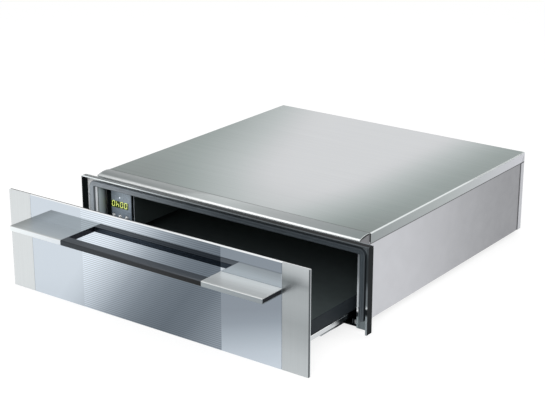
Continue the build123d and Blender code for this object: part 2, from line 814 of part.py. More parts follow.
def ball_cage(shift, low):
    """One strip with its loose balls, between two rails that leave the ball space above low."""
    z = low + ball_space / 2
    middle = rail_front + rail_length / 2 - shift
    reach = ball_pitch * (ball_count - 1) / 2
    x = (rail_x - cage_width / 2, rail_x + cage_width / 2)
    y = (middle - reach - cage_end, middle + reach + cage_end)
    strip = block(x, y, (z - cage_thickness / 2, z + cage_thickness / 2))
    balls = []
    for row in (-1, 1):
        for step in range(ball_count):
            ball_x = rail_x + row * ball_rows / 2
            ball_y = middle - reach + step * ball_pitch
            strip -= round_z(ball_radius + cage_hole_gap, ball_x, ball_y, (z - cut, z + cut))
            balls.append(Pos(ball_x, ball_y, z) * Sphere(ball_radius))
    return Compound(children=[strip.solid()] + [ball.solid() for ball in balls])


# ---------------------------------------------------------------- drawer
def drawer_tray():
    """Low tray of one sheet: floor and four walls."""
    y = (tray_front, tray_back)
    outer = block((-tray_half, tray_half), y, (tray_floor, wall_top))
    inside_x = (-tray_half + tray_sheet, tray_half - tray_sheet)
    inside_y = (tray_front + tray_sheet, tray_back - tray_sheet)
    tray = outer - block(inside_x, inside_y, (tray_floor + tray_sheet, wall_top + cut))
    for x, z in tray_screw_places():
        depth = (tray_front - cut, tray_front + tray_sheet + cut)
        tray -= round_y(screw_radius + screw_clearance, x, z, depth)
    return tray


def tray_screw_places():
    z = tray_floor + tray_wall_height / 2
    outer = tray_half - tray_screw_inset
    return [(x, z) for x in (-outer, tray_screw_pitch - outer, outer - tray_screw_pitch, outer)]


def anti_slip_mat():
    half = tray_half - tray_sheet - mat_gap
    y = (tray_front + tray_sheet + mat_gap, tray_back - tray_sheet - mat_gap)
    low = tray_floor + tray_sheet
    return block((-half, half), y, (low, low + mat_thickness))


def inner_front():
    """Shallow closed tray behind the front; its rear face meets the gasket."""
    half = inner_front_half
    outer = block((-half, half), (front_back, inner_front_back), (inner_front_low, inner_front_high))
    inside_z = (inner_front_low + sheet, inner_front_high - sheet)
    inside_y = (front_back - cut, inner_front_back - sheet)
    pan = outer - block((-half + sheet, half - sheet), inside_y, inside_z)
    for x, z in tray_screw_places():
        depth = (inner_front_back - sheet - cut, inner_front_back + cut)
        pan -= round_y(screw_radius + screw_clearance, x, z, depth)
    return pan


def switch_magnet():
    """Magnet inside the inner front, opposite the switch when the drawer is shut."""
    back = inner_front_back - sheet
    x = (switch_x - magnet_width / 2, switch_x + magnet_width / 2)
    middle = roof_height - switch_height / 2
    z = (middle - magnet_height / 2, middle + magnet_height / 2)
    return block(x, (back - magnet_depth, back), z)


# ---------------------------------------------------------------- front
def handle_screw_places():
    middle = (shelf_low + shelf_top) / 2
    near = shelf_inner + handle_screw_inset
    far = glass_half - handle_screw_inset
    return [(side * x, middle) for side in (1, -1) for x in (near, far)]


def front_backplate():
    half = front_half
    y = (front_back - backplate_thickness, front_back)
    plate = block((-half, half), y, (front_lift, front_top))
    for x, z in handle_screw_places():
        plate -= round_y(handle_screw_radius + screw_clearance, x, z, (y[0] - cut, y[1] + cut))
    return plate


def front_glass():
    y = (front_face, front_back - backplate_thickness)
    z = (front_lift, front_top)
    glass = block((-glass_half, glass_half), y, z)
    for x, hole_z in handle_screw_places():
        glass -= round_y(handle_screw_radius + trim_gap, x, hole_z, (y[0] - cut, y[1] + cut))
    return glass


def front_strip():
    """Right brushed steel strip beside the glass, as thick as the glass."""
    y = (front_face, front_back - backplate_thickness)
    return block((glass_half + trim_gap, front_half), y, (front_lift, front_top))


def handle_shelf():
    """Right half of the handle: a flat hollow shelf with small round edges, open at both ends."""
    x = (shelf_inner, glass_half)
    y = (handle_front, front_face)
    solid = block(x, y, (shelf_low, shelf_top))
    solid = fillet(solid.edges().filter_by(Axis.X).group_by(Axis.Y)[0], shelf_edge_radius)
    inside_y = (handle_front + shelf_wall, front_face - shelf_wall)
    inside_z = (shelf_low + shelf_wall, shelf_top - shelf_wall)
    solid -= block((x[0] - cut, x[1] + cut), inside_y, inside_z)
    for screw_x, z in handle_screw_places():
        if screw_x > 0:
            depth = (front_face - shelf_wall - cut, front_face + cut)
            solid -= round_y(handle_screw_radius + screw_clearance, screw_x, z, depth)
    return solid


def handle_insert():
    """Black filling of the right shelf, with a socket for the bar's tongue."""
    room = shelf_wall + insert_gap
    y = (handle_front + room, front_face - room)
    z = (shelf_low + room, shelf_top - room)
    body = block((shelf_inner, glass_half - insert_sink), y, z)
    middle_y = handle_front + bar_depth / 2
    half_y = tongue_depth / 2 + tongue_gap
    middle_z = (shelf_low + shelf_top) / 2
    half_z = tongue_height / 2 + tongue_gap
    socket_x = (shelf_inner - cut, shelf_inner + tongue_length + tongue_gap)
    socket_y = (middle_y - half_y, middle_y + half_y)
    body -= block(socket_x, socket_y, (middle_z - half_z, middle_z + half_z))
    for screw_x, screw_z in handle_screw_places():
        if screw_x > 0:
            depth = (front_face - handle_screw_grip, front_face)
            body -= round_y(handle_screw_radius, screw_x, screw_z, depth)
    return body


def handle_bar():
    """Dark front bar between the shelves, with a tongue in each of them."""
    y = (handle_front, handle_front + bar_depth)
    bar = block((-shelf_inner, shelf_inner), y, (shelf_low, shelf_top))
    bar = fillet(bar.edges().filter_by(Axis.X).group_by(Axis.Y)[0], shelf_edge_radius)
    reach = shelf_inner + tongue_length
    middle_y = handle_front + bar_depth / 2
    middle_z = (shelf_low + shelf_top) / 2
    tongue_y = (middle_y - tongue_depth / 2, middle_y + tongue_depth / 2)
    tongue_z = (middle_z - tongue_height / 2, middle_z + tongue_height / 2)
    return bar + block((-reach, reach), tongue_y, tongue_z)


# ---------------------------------------------------------------- fasteners
def screw_y(x, z, seat, length, radius=screw_radius):
    """Pan head screw along -Y: its head rests on the plane y = seat and its tip points forward."""
    head = round_y(screw_head_radius, x, z, (seat, seat + screw_head_height))
    head = fillet(head.edges().sort_by(Axis.Y)[-1], screw_head_rounding)
    return head + round_y(radius, x, z, (seat - length, seat))


def cabinet_screws():
    """Screws of the back panel and of the fixed rails."""
    screws = []
    for side in (1, -1):
        screws += [screw_y(x, z, body_back, screw_length) for x, z in back_screw_places(side)]
        for x, y in rail_screw_places(side):
            top = cabinet_rail_top
            head = round_z(screw_head_radius, x, y, (top, top + screw_head_height))
            head = fillet(head.edges().sort_by(Axis.Z)[-1], screw_head_rounding)
            screws.append(head + round_z(screw_radius, x, y, (top - screw_length, top)))
    return screws


def drawer_screws():
    """Screws through the tray's front wall into the inner front."""
    seat = tray_front + tray_sheet
    return [screw_y(x, z, seat, screw_length) for x, z in tray_screw_places()]


def handle_screws():
    """Screws from behind the front into the handle."""
    length = handle_screw_grip + glass_thickness + backplate_thickness
    places = handle_screw_places()
    return [screw_y(x, z, front_back, length, handle_screw_radius) for x, z in places]


# ---------------------------------------------------------------- write every node
nodes = {
    "top_cover": top_cover(),
    "back_panel": back_panel(),
    "base_pan": base_pan(),
    "front_frame": front_frame(),
    "door_gasket": door_gasket(),
    "cavity_roof": cavity_roof(),
    "insulation_pad": insulation_pad(),
    "cavity_partition": cavity_partition(),
    "cavity_back": cavity_back(),
    "control_housing": control_housing(),
    "control_fascia": control_fascia(),
    "display_module": display_module(),
    "circuit_board": circuit_board(),
    "indicator_led": indicator_led(),
    "fan_housing": fan_housing(),
    "heating_element": heating_element(),
    "fan_motor": fan_motor(),
    "fan_impeller": fan_impeller(),
    "thermostat": thermostat(),
    "terminal_block": terminal_block(),
    "cable_gland": cable_gland(),
    "door_switch": door_switch(),
    "drawer_tray": drawer_tray(),
    "anti_slip_mat": anti_slip_mat(),
    "inner_front": inner_front(),
    "switch_magnet": switch_magnet(),
    "front_backplate": front_backplate(),
    "front_glass": front_glass(),
    "handle_bar": handle_bar(),
}

paired = {
    "side_panel": side_panel(),
    "shroud_strip": shroud_strip(),
    "corner_post": corner_post(),
    "cabinet_rail": cabinet_rail(),
    "middle_rail": middle_rail(),
    "drawer_rail": drawer_rail(),
    "lower_cage": ball_cage(lower_cage_shift, cabinet_rail_top),
    "upper_cage": ball_cage(upper_cage_shift, middle_high),
    "front_strip": front_strip(),
    "handle_shelf": handle_shelf(),
    "handle_insert": handle_insert(),
}
for name, right in paired.items():
    for side, piece in both_sides(right).items():
        nodes[f"{name}_{side}"] = piece

for number, (x, z) in enumerate(button_places(), start=1):
    nodes[f"button_{number}"] = push_button(x, z)

groups = {
    "gasket_pins": gasket_pins(),
    "rail_stops": rail_stops(),
    "cabinet_screws": cabinet_screws(),
    "drawer_screws": drawer_screws(),
    "handle_screws": handle_screws(),
}
for name, pieces in groups.items():
    nodes[name] = Compound(children=[piece.solid() for piece in pieces])

for name, shape in nodes.items():
    save(shape, name)
print(len(nodes), "nodes")
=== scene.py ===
import math
import bmesh
import bpy
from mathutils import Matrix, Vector


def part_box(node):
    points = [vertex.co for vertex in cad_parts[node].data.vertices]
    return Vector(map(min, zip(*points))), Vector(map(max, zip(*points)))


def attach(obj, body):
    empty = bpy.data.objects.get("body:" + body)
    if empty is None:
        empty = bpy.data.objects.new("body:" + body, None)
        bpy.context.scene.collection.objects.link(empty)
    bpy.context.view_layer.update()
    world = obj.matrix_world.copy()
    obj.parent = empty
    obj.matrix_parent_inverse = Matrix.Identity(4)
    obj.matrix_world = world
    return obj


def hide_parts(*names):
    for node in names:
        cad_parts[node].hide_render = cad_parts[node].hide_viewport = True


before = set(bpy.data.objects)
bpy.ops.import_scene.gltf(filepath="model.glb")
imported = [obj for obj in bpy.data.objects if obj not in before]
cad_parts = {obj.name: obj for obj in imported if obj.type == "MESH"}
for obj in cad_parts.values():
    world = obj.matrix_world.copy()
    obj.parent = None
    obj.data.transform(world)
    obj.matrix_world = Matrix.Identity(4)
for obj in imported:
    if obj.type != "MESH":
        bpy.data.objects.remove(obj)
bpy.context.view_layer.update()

# ---------------------------------------------------------------- lid
# Lid of the body: one 1 mm sheet of stainless steel, folded down over both sides and drawn into
# a convex lip in front that ends in a flat hem.  It is belt ground and the grain runs across the
# width.  Its broad soft sheen is painted into the colour: a painted highlight bright over the
# middle, grey towards the edges.


def hex_colour(code):
    """An sRGB hex value as linear colour."""
    parts = [int(code[place:place + 2], 16) / 255 for place in (0, 2, 4)]
    linear = [part / 12.92 if part <= 0.04045 else ((part + 0.055) / 1.055) ** 2.4 for part in parts]
    return (*linear, 1.0)


def add_node(tree, kind, inputs=None, **settings):
    """Adds a node with its settings; an input that is given another node's socket is linked."""
    node = tree.nodes.new(kind)
    for name, value in settings.items():
        setattr(node, name, value)
    for name, value in (inputs or {}).items():
        if isinstance(value, bpy.types.NodeSocket):
            tree.links.new(value, node.inputs[name])
        else:
            node.inputs[name].default_value = value
    return node


def new_finish(name, **shader_inputs):
    """A material with one shader, returned with its node tree, shader and Object coordinates."""
    material = bpy.data.materials.new(name)
    material.use_nodes = True
    tree = material.node_tree
    tree.nodes.clear()
    inputs = {key.replace("_", " "): value for key, value in shader_inputs.items()}
    shader = add_node(tree, "ShaderNodeBsdfPrincipled", inputs)
    add_node(tree, "ShaderNodeOutputMaterial", {"Surface": shader.outputs[0]})
    place = add_node(tree, "ShaderNodeTexCoord").outputs["Object"]
    return material, tree, shader, place


def vary(tree, place, scale, low, high, detail=2.0):
    """Noise over Object coordinates, per metre on each axis, spread between two values."""
    spread = add_node(tree, "ShaderNodeMapping", {"Vector": place, "Scale": scale})
    noise = add_node(tree, "ShaderNodeTexNoise",
                     {"Vector": spread.outputs[0], "Scale": 1.0, "Detail": detail})
    reach = {"Value": noise.outputs["Fac"], "From Min": 0.3, "From Max": 0.7,
             "To Min": low, "To Max": high}
    return add_node(tree, "ShaderNodeMapRange", reach).outputs["Result"]


def fade(tree, value, start, end, low, high):
    """A smooth change from low at start to high at end."""
    reach = {"Value": value, "From Min": start, "From Max": end, "To Min": low, "To Max": high}
    return add_node(tree, "ShaderNodeMapRange", reach, interpolation_type="SMOOTHSTEP").outputs[0]


def times(tree, *values):
    """Product of several values."""
    product = values[0]
    for value in values[1:]:
        product = add_node(tree, "ShaderNodeMath", {0: product, 1: value}, operation="MULTIPLY").outputs[0]
    return product


def tinted(tree, colour, amount):
    """A colour made darker or lighter all together by an amount that varies."""
    start = colour if isinstance(colour, bpy.types.NodeSocket) else colour[:3]
    scaled = add_node(tree, "ShaderNodeVectorMath", {0: start, "Scale": amount}, operation="SCALE")
    return scaled.outputs["Vector"]


def graded(tree, value, stops):
    """A colour read along a value; each stop is a place on it and a colour."""
    start, end = stops[0][0], stops[-1][0]
    share = add_node(tree, "ShaderNodeMapRange", {"Value": value, "From Min": start, "From Max": end})
    tone = add_node(tree, "ShaderNodeValToRGB", {"Fac": share.outputs[0]})
    ramp = tone.color_ramp.elements
    while len(ramp) < len(stops):
        ramp.new(0.5)
    for element, (reach, code) in zip(ramp, stops):
        element.position = (reach - start) / (end - start)
        element.color = hex_colour(code)
    return tone.outputs["Color"]


def laid_over(tree, share, under, over):
    """One colour over another, as far as the share goes."""
    mixed = add_node(tree, "ShaderNodeMix", {"Factor": share, "A": under, "B": over}, data_type="RGBA")
    return mixed.outputs["Result"]


def distance(tree, value, centre=0.0):
    """How far a value is from a centre, either way."""
    offset = add_node(tree, "ShaderNodeMath", {0: value, 1: centre}, operation="SUBTRACT").outputs[0]
    return add_node(tree, "ShaderNodeMath", {0: offset}, operation="ABSOLUTE").outputs[0]


def axes(tree, place):
    """X, Y and Z of the Object coordinates."""
    return add_node(tree, "ShaderNodeSeparateXYZ", {"Vector": place}).outputs[:]


def bump(tree, shader, height, depth):
    """Surface relief of a given depth in metres."""
    relief = add_node(tree, "ShaderNodeBump", {"Height": height, "Distance": depth, "Strength": 1.0})
    tree.links.new(relief.outputs[0], shader.inputs["Normal"])


def finish_piece(form, name, material, body, nodes=(), smooth=30, flat_area=1.0):
    """Makes a bmesh a piece that rides on a body and stands for CAD nodes; large faces stay flat."""
    mesh = bpy.data.meshes.new(name)
    form.to_mesh(mesh)
    form.free()
    mesh.materials.append(material)
    mesh.set_sharp_from_angle(angle=math.radians(smooth))
    for polygon in mesh.polygons:
        polygon.use_smooth = polygon.area < flat_area
    piece = bpy.data.objects.new(name, mesh)
    bpy.context.scene.collection.objects.link(piece)
    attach(piece, body)
    if nodes:
        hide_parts(*nodes)
    return piece


def thicken(piece, thickness, offset=-1.0):
    """Gives an open sheet its thickness, inwards from the drawn face."""
    wall = piece.modifiers.new("sheet", "SOLIDIFY")
    wall.thickness = thickness
    wall.offset = offset
    wall.use_even_offset = True


def draw_out(form, edges, vector):
    """Extrudes edges along a straight run and returns the new end's edges."""
    drawn = bmesh.ops.extrude_edge_only(form, edges=edges)
    moved = [part for part in drawn["geom"] if isinstance(part, bmesh.types.BMVert)]
    bmesh.ops.translate(form, verts=moved, vec=vector)
    return [part for part in drawn["geom"] if isinstance(part, bmesh.types.BMEdge)
            and part.verts[0] in moved and part.verts[1] in moved]


def face_up(form):
    """Turns the faces of an open sheet so that most of them look upwards."""
    bmesh.ops.recalc_face_normals(form, faces=form.faces[:])
    if sum(face.normal.z * face.calc_area() for face in form.faces) < 0:
        bmesh.ops.reverse_faces(form, faces=form.faces[:])


lid_low, lid_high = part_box("top_cover")
lid_half = lid_high.x
lid_top = 0.155
lip_start = -0.242
fold_radius = 0.0018
sheet = 0.001

lid_steel, tree, shader, place = new_finish("ground_stainless_lid", Metallic=1.0)
x, y, z = axes(tree, place)
slanted = add_node(tree, "ShaderNodeMath", {0: y, 1: 0.4, 2: x}, operation="MULTIPLY_ADD").outputs[0]
# painted sheen: the top is painted lighter over the middle and greyer towards the left, right and front
painted_sheen_left = fade(tree, slanted, -0.31, -0.015, 0.62, 1.0)
painted_sheen_right = fade(tree, x, 0.08, 0.27, 1.0, 0.64)
painted_sheen_front = fade(tree, y, -0.36, -0.05, 0.83, 1.0)
top_tone = graded(tree, times(tree, painted_sheen_left, painted_sheen_right, painted_sheen_front), [
    (0.5, "69716F"), (0.667, "8C9795"), (0.843, "B1B8B8"), (0.962, "CACCCE"), (1.0, "CED0D2")])
# painted sheen: the side flanges are painted lighter towards the back
painted_flange_sheen = graded(tree, y, [(-0.24, "949A9B"), (0.0, "ADB3B3"), (0.27, "C9CAD0")])
above_flange = fade(tree, z, lid_top - 0.0020, lid_top - 0.0016, 0.0, 1.0)
tone = laid_over(tree, above_flange, painted_flange_sheen, top_tone)
# painted highlight: a light line along the rounded fold at each side
by_side = fade(tree, distance(tree, x), lid_half - 0.0020, lid_half - 0.0015, 0.0, 1.0)
painted_fold_highlight = times(tree, by_side, above_flange)
tone = laid_over(tree, painted_fold_highlight, tone, hex_colour("E4E9E9"))
# painted shade: the flanges' front ends are painted dark
painted_flange_end_shade = times(tree, fade(tree, y, lip_start + 0.0016, lip_start + 0.0022, 1.0, 0.0),
                   fade(tree, z, lid_top - 0.0014, lid_top - 0.0008, 1.0, 0.0))
tone = laid_over(tree, painted_flange_end_shade, tone, hex_colour("202426"))
# the pressed line where the lip starts, with a thin painted shade along it
painted_crease_shade = fade(tree, distance(tree, y, lip_start + 0.0009), 0.0005, 0.0011, 0.35, 1.0)
grain = vary(tree, place, (5, 420, 420), 0.98, 1.02)    # coarser than the real belt grain of 0.1 mm
tree.links.new(tinted(tree, tone, times(tree, grain, painted_crease_shade)), shader.inputs["Base Color"])
tree.links.new(vary(tree, place, (4, 300, 300), 0.31, 0.37), shader.inputs["Roughness"])

form = bmesh.new()
section = [(-lid_half, lid_low.z), (-lid_half, lid_top), (lid_half, lid_top), (lid_half, lid_low.z)]
corners = [form.verts.new((sx, lip_start, sz)) for sx, sz in section]
for first, second in zip(corners, corners[1:]):
    form.edges.new((first, second))
bmesh.ops.bevel(form, geom=corners[1:3], offset=fold_radius, offset_type="OFFSET", segments=5,
                profile=0.5, affect="VERTICES", material=-1)
draw_out(form, form.edges[:], (0, lid_high.y - lip_start, 0))
# slanted cut of both flanges at the rear, where the back panel wraps round
rear_cut = Vector((0, 0.013, -0.011)).normalized()
bmesh.ops.bisect_plane(form, geom=form.verts[:] + form.edges[:] + form.faces[:], clear_outer=True,
                       plane_co=(0, lid_high.y - 0.011, lid_low.z), plane_no=rear_cut)
toes = [vert for vert in form.verts
        if abs(vert.co.z - lid_low.z) < 1e-5 and abs(vert.co.y - lip_start) < 1e-5]
bmesh.ops.bevel(form, geom=toes, offset=0.004, offset_type="OFFSET", segments=5, profile=0.5,
                affect="VERTICES", material=-1)
face_up(form)
lid = finish_piece(form, "lid", lid_steel, "cabinet", ["top_cover"], flat_area=0.002)
thicken(lid, sheet)

# the lip: an arc of 29 mm with 1.9 mm of bulge, rolled down into the hem
lip_drop, lip_length, lip_bulge, hem_roll = 0.0032, 0.0284, 0.0019, 0.0009
chord = math.hypot(lip_length, lip_drop)
lip_radius = (chord ** 2 / 4 + lip_bulge ** 2) / (2 * lip_bulge)
half_turn = math.asin(chord / 2 / lip_radius)
slope = math.atan2(lip_drop, lip_length)
middle = Vector((0, lip_start - lip_length / 2, lid_top - lip_drop / 2))
inward = Vector((0, math.sin(slope), -math.cos(slope)))
form = bmesh.new()
edge = form.edges.new([form.verts.new((side * lid_half, lip_start, lid_top)) for side in (-1, 1)])
lip_axis = middle + inward * (lip_radius - lip_bulge)
spun = bmesh.ops.spin(form, geom=[*edge.verts, edge], cent=lip_axis, axis=(1, 0, 0),
                      angle=2 * half_turn, steps=14)
arc_end = spun["geom_last"]
end_tilt = slope + half_turn
lip_front = next(part for part in arc_end if isinstance(part, bmesh.types.BMVert)).co
roll_centre = (0, lip_front.y + math.sin(end_tilt) * hem_roll, lip_front.z - math.cos(end_tilt) * hem_roll)
spun = bmesh.ops.spin(form, geom=arc_end, cent=roll_centre, axis=(1, 0, 0),
                      angle=math.pi / 2 - end_tilt, steps=6)
hem_edges = [part for part in spun["geom_last"] if isinstance(part, bmesh.types.BMEdge)]
hem_foot = lid_low.z + 0.012
draw_out(form, hem_edges, (0, 0, hem_foot - hem_edges[0].verts[0].co.z))
bmesh.ops.remove_doubles(form, verts=form.verts[:], dist=1e-6)
face_up(form)

lip_steel, tree, shader, place = new_finish("ground_stainless_lip", Roughness=0.30)
x, y = axes(tree, place)[:2]
# painted sheen: the lip is painted lighter over the middle and greyer towards both ends
painted_lip_sheen = graded(tree, x, [(-0.2685, "899091"), (-0.12, "9CA3A3"), (0.0, "B6BCBC"), (0.12, "A5A9AA"),
                            (0.2685, "889090")])
painted_hem_highlight = graded(tree, x, [(-0.2685, "E4E9E9"), (-0.23, "F4F8F8"), (0.0, "FAFCFC"), (0.2685, "F4F8F8")])
# painted highlight: the hem is painted near white and not metallic, the bright band broader at the left
hem_start = fade(tree, x, -0.25, 0.1, -0.2630, -0.2668)
hem_highlight_mask = fade(tree, y, -0.2692, hem_start, 1.0, 0.0)
grain = vary(tree, place, (5, 420, 420), 0.98, 1.02)
tone = laid_over(tree, hem_highlight_mask, painted_lip_sheen, painted_hem_highlight)
# painted highlight along the lip's cut ends
painted_end_highlight = fade(tree, distance(tree, x), lid_half - 0.0020, lid_half - 0.0014, 0.0, 0.75)
tone = laid_over(tree, painted_end_highlight, tone, hex_colour("E4E9E9"))
# painted shade: a dark line at the very ends of the lip
painted_lip_end_shade = fade(tree, distance(tree, x), lid_half - 0.0006, lid_half - 0.0003, 0.0, 1.0)
tone = laid_over(tree, painted_lip_end_shade, tone, hex_colour("202426"))
tree.links.new(fade(tree, y, -0.2692, -0.2668, 0.0, 1.0), shader.inputs["Metallic"])
tree.links.new(tinted(tree, tone, grain), shader.inputs["Base Color"])
lip = finish_piece(form, "lid_lip", lip_steel, "cabinet", ["top_cover"])
thicken(lip, sheet)

# ---------------------------------------------------------------- body sheets
# Side panels and back panel: hot dip galvanised steel sheet, 1 mm, folded on a press
# and screwed together.  The zinc is matt, light grey, with a faint spangle of 10 mm crystals.


def dress(material, *names):
    """Gives CAD nodes their finish."""
    for name in names:
        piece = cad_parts[name]
        if not piece.material_slots:
            piece.data.materials.append(None)
        for slot in piece.material_slots:
            slot.material = material


wrap_start = 0.262    # front edge of the back panel's wrap
zinc, tree, shader, place = new_finish("galvanised_sheet", Metallic=1.0)
x, y, z = axes(tree, place)
# painted sheen: the sheet is painted lighter at the front and darker towards the back, and the back panel's
# wrap lighter again
painted_depth_sheen = fade(tree, y, -0.23, 0.26, 1.05, 0.59)
painted_wrap_light = fade(tree, y, wrap_start - 0.0008, wrap_start - 0.0002, 0.0, 0.41)
painted_depth_sheen = add_node(tree, "ShaderNodeMath", {0: painted_depth_sheen, 1: painted_wrap_light}, operation="ADD").outputs[0]
# painted shade on the sides: dark lines under the lid's flange and in front of the back panel's wrap
on_side = fade(tree, distance(tree, x), 0.2655, 0.2660, 0.0, 1.0)
painted_flange_shade = fade(tree, distance(tree, z, lid_low.z - 0.0009), 0.0008, 0.0015, 0.80, 0.0)
painted_wrap_shade = fade(tree, distance(tree, y, wrap_start - 0.0012), 0.0007, 0.0014, 0.75, 0.0)
# painted reflection: the web under the lid's lip, in front of the flange, is painted darker as if it
# mirrored the dark frame
under_lip = times(tree, fade(tree, y, lip_start - 0.0016, lip_start - 0.0010, 1.0, 0.0),
                  fade(tree, z, lid_low.z - 0.0014, lid_low.z - 0.0006, 0.0, 1.0))
painted_web_reflection = times(tree, 0.64, under_lip)
# and a painted shadow of the lip in a thin arc
flat = add_node(tree, "ShaderNodeVectorMath", {0: place, 1: (0.0, 1.0, 1.0)}, operation="MULTIPLY")
from_axis = add_node(tree, "ShaderNodeVectorMath", {0: flat.outputs[0], 1: lip_axis}, operation="DISTANCE")
from_axis = from_axis.outputs["Value"]
painted_lip_shadow = times(tree, fade(tree, from_axis, lip_radius - 0.0032, lip_radius - 0.0026, 0.0, 0.93), under_lip)
# all the painted shade together, taken off the colour along with the painted sheen and the spangle
painted_shade = painted_flange_shade
for other in (painted_wrap_shade, painted_web_reflection, painted_lip_shadow):
    painted_shade = add_node(tree, "ShaderNodeMath", {0: painted_shade, 1: other}, operation="MAXIMUM").outputs[0]
free_of_painted_shade = add_node(tree, "ShaderNodeMath", {0: 1.0, 1: times(tree, painted_shade, on_side)},
                    operation="SUBTRACT").outputs[0]
# crystals about 10 mm across
spangle = add_node(tree, "ShaderNodeTexVoronoi", {"Vector": place, "Scale": 95.0, "Randomness": 1.0})
crystal = add_node(tree, "ShaderNodeSeparateColor", {"Color": spangle.outputs["Color"]}).outputs["Red"]
crystal = fade(tree, crystal, 0.0, 1.0, 0.985, 1.015)
painted_sheen_and_spangle = times(tree, painted_depth_sheen, crystal, vary(tree, place, (30, 30, 30), 0.98, 1.02), free_of_painted_shade)
tree.links.new(tinted(tree, hex_colour("C7C8CC"), painted_sheen_and_spangle), shader.inputs["Base Color"])
tree.links.new(fade(tree, crystal, 0.98, 1.02, 0.46, 0.54), shader.inputs["Roughness"])
dress(zinc, "side_panel_left", "side_panel_right", "back_panel")

# ---------------------------------------------------------------- front frame
# Frame plate round the opening, its top edge folded forward over the strips: stainless steel,
# satin at the left and polished towards the right.  Its colour is painted reflection and shade:
# bright at the left end and dark over the opening.
frame_steel, tree, shader, place = new_finish("polished_stainless_frame")
opening_top = 0.1325
fold_front = -0.285    # front edge of the fold and of the side strips
x, y, z = axes(tree, place)
# beside the opening, painted reflection: white at the left; at the right a painted bright line that
# fades upwards from a dark spot, on the jamb inside the seal and a little higher on the leg outside it
painted_jamb_reflection = graded(tree, z, [
    (0.026, "8E999C"), (0.028, "2C3033"), (0.034, "2C3033"), (0.037, "F4F8FA"), (0.043, "C4CACD"),
    (0.075, "BEC4C7"), (0.095, "8A9094"), (opening_top, "6E7478")])
painted_leg_reflection = graded(tree, z, [
    (0.034, "8E999C"), (0.036, "2C3033"), (0.043, "2C3033"), (0.045, "F4F8FA"), (0.050, "C4CACD"),
    (0.075, "BEC4C7"), (0.100, "8A9094"), (opening_top, "6E7478")])
outside_seal = fade(tree, x, 0.2692, 0.2698, 0.0, 1.0)
painted_right_tone = laid_over(tree, outside_seal, painted_jamb_reflection, painted_leg_reflection)
painted_jamb_tone = laid_over(tree, fade(tree, x, -0.1, 0.1, 0.0, 1.0), hex_colour("F8FCFF"), painted_right_tone)
# painted shade: the face outside the seal at the right is painted darker
painted_jamb_tone = laid_over(tree, times(tree, 0.6, outside_seal), painted_jamb_tone, hex_colour("3E4448"))
# painted shade: a dark line along the left edge of the opening
painted_edge_shade = fade(tree, x, -0.2686, -0.2682, 0.0, 1.0)
painted_edge_shade = times(tree, painted_edge_shade, fade(tree, x, -0.2600, -0.2590, 1.0, 0.0))
painted_jamb_tone = laid_over(tree, painted_edge_shade, painted_jamb_tone, hex_colour("5C6467"))
# over the opening the plate is painted: a painted shade of the fold, white at the left end as a painted
# reflection
painted_face_tone = graded(tree, x, [
    (-0.272, "FAFCFD"), (-0.262, "A0AAAE"), (-0.250, "5E666A"), (-0.144, "6C7377"), (-0.058, "4A5053"),
    (0.264, "464C4F"), (0.274, "6A7175"), (0.28, "6A7175")])
# painted reflection on the fold and on its front edge: bright at the left, dark towards the right
painted_fold_reflection = graded(tree, x, [
    (-0.232, "E4ECEE"), (-0.187, "E4ECEE"), (-0.144, "A8B0B4"), (-0.058, "7A8184"), (0.028, "5C6265"),
    (0.114, "32373A"), (0.255, "363B3E")])
front_line = fade(tree, y, fold_front + 0.0002, fold_front + 0.0006, 1.0, 0.0)
# painted shade: dark lines where the fold meets the lid's hem and along its middle
painted_hem_shade = fade(tree, y, -0.2784, -0.2770, 1.0, 0.08)
painted_bend_shade = fade(tree, distance(tree, y, -0.2802), 0.0014, 0.0022, 0.06, 1.0)
painted_fold_reflection = tinted(tree, painted_fold_reflection, times(tree, painted_hem_shade, painted_bend_shade))
painted_front_edge_reflection = graded(tree, x, [(-0.187, "F4FAFC"), (-0.144, "CAD2D6"), (-0.058, "6C7276"), (0.28, "5A6064")])
painted_fold_reflection = laid_over(tree, front_line, painted_fold_reflection, painted_front_edge_reflection)
above_opening = fade(tree, z, opening_top - 0.0003, opening_top, 0.0, 1.0)
tone = laid_over(tree, above_opening, painted_jamb_tone, painted_face_tone)
tone = laid_over(tree, fade(tree, y, -0.2745, -0.2740, 1.0, 0.0), tone, painted_fold_reflection)
# the rear face isn't polished, and is a plain grey
tone = laid_over(tree, fade(tree, y, -0.2728, -0.2722, 0.0, 1.0), tone, hex_colour("9AA0A3"))
# streaks 2.5 mm wide, coarser than the real polish
tree.links.new(tinted(tree, tone, vary(tree, place, (400, 60, 12), 0.97, 1.03)), shader.inputs["Base Color"])
# only the right leg, outside the bright line, mirrors
mirrors = times(tree, fade(tree, x, 0.2726, 0.2730, 0.0, 1.0),
                fade(tree, z, opening_top - 0.0003, opening_top, 1.0, 0.0))
tree.links.new(mirrors, shader.inputs["Metallic"])
tree.links.new(fade(tree, x, -0.20, 0.0, 0.3, 0.02), shader.inputs["Specular IOR Level"])
tree.links.new(fade(tree, x, -0.260, 0.260, 0.50, 0.10), shader.inputs["Roughness"])
dress(frame_steel, "front_frame")

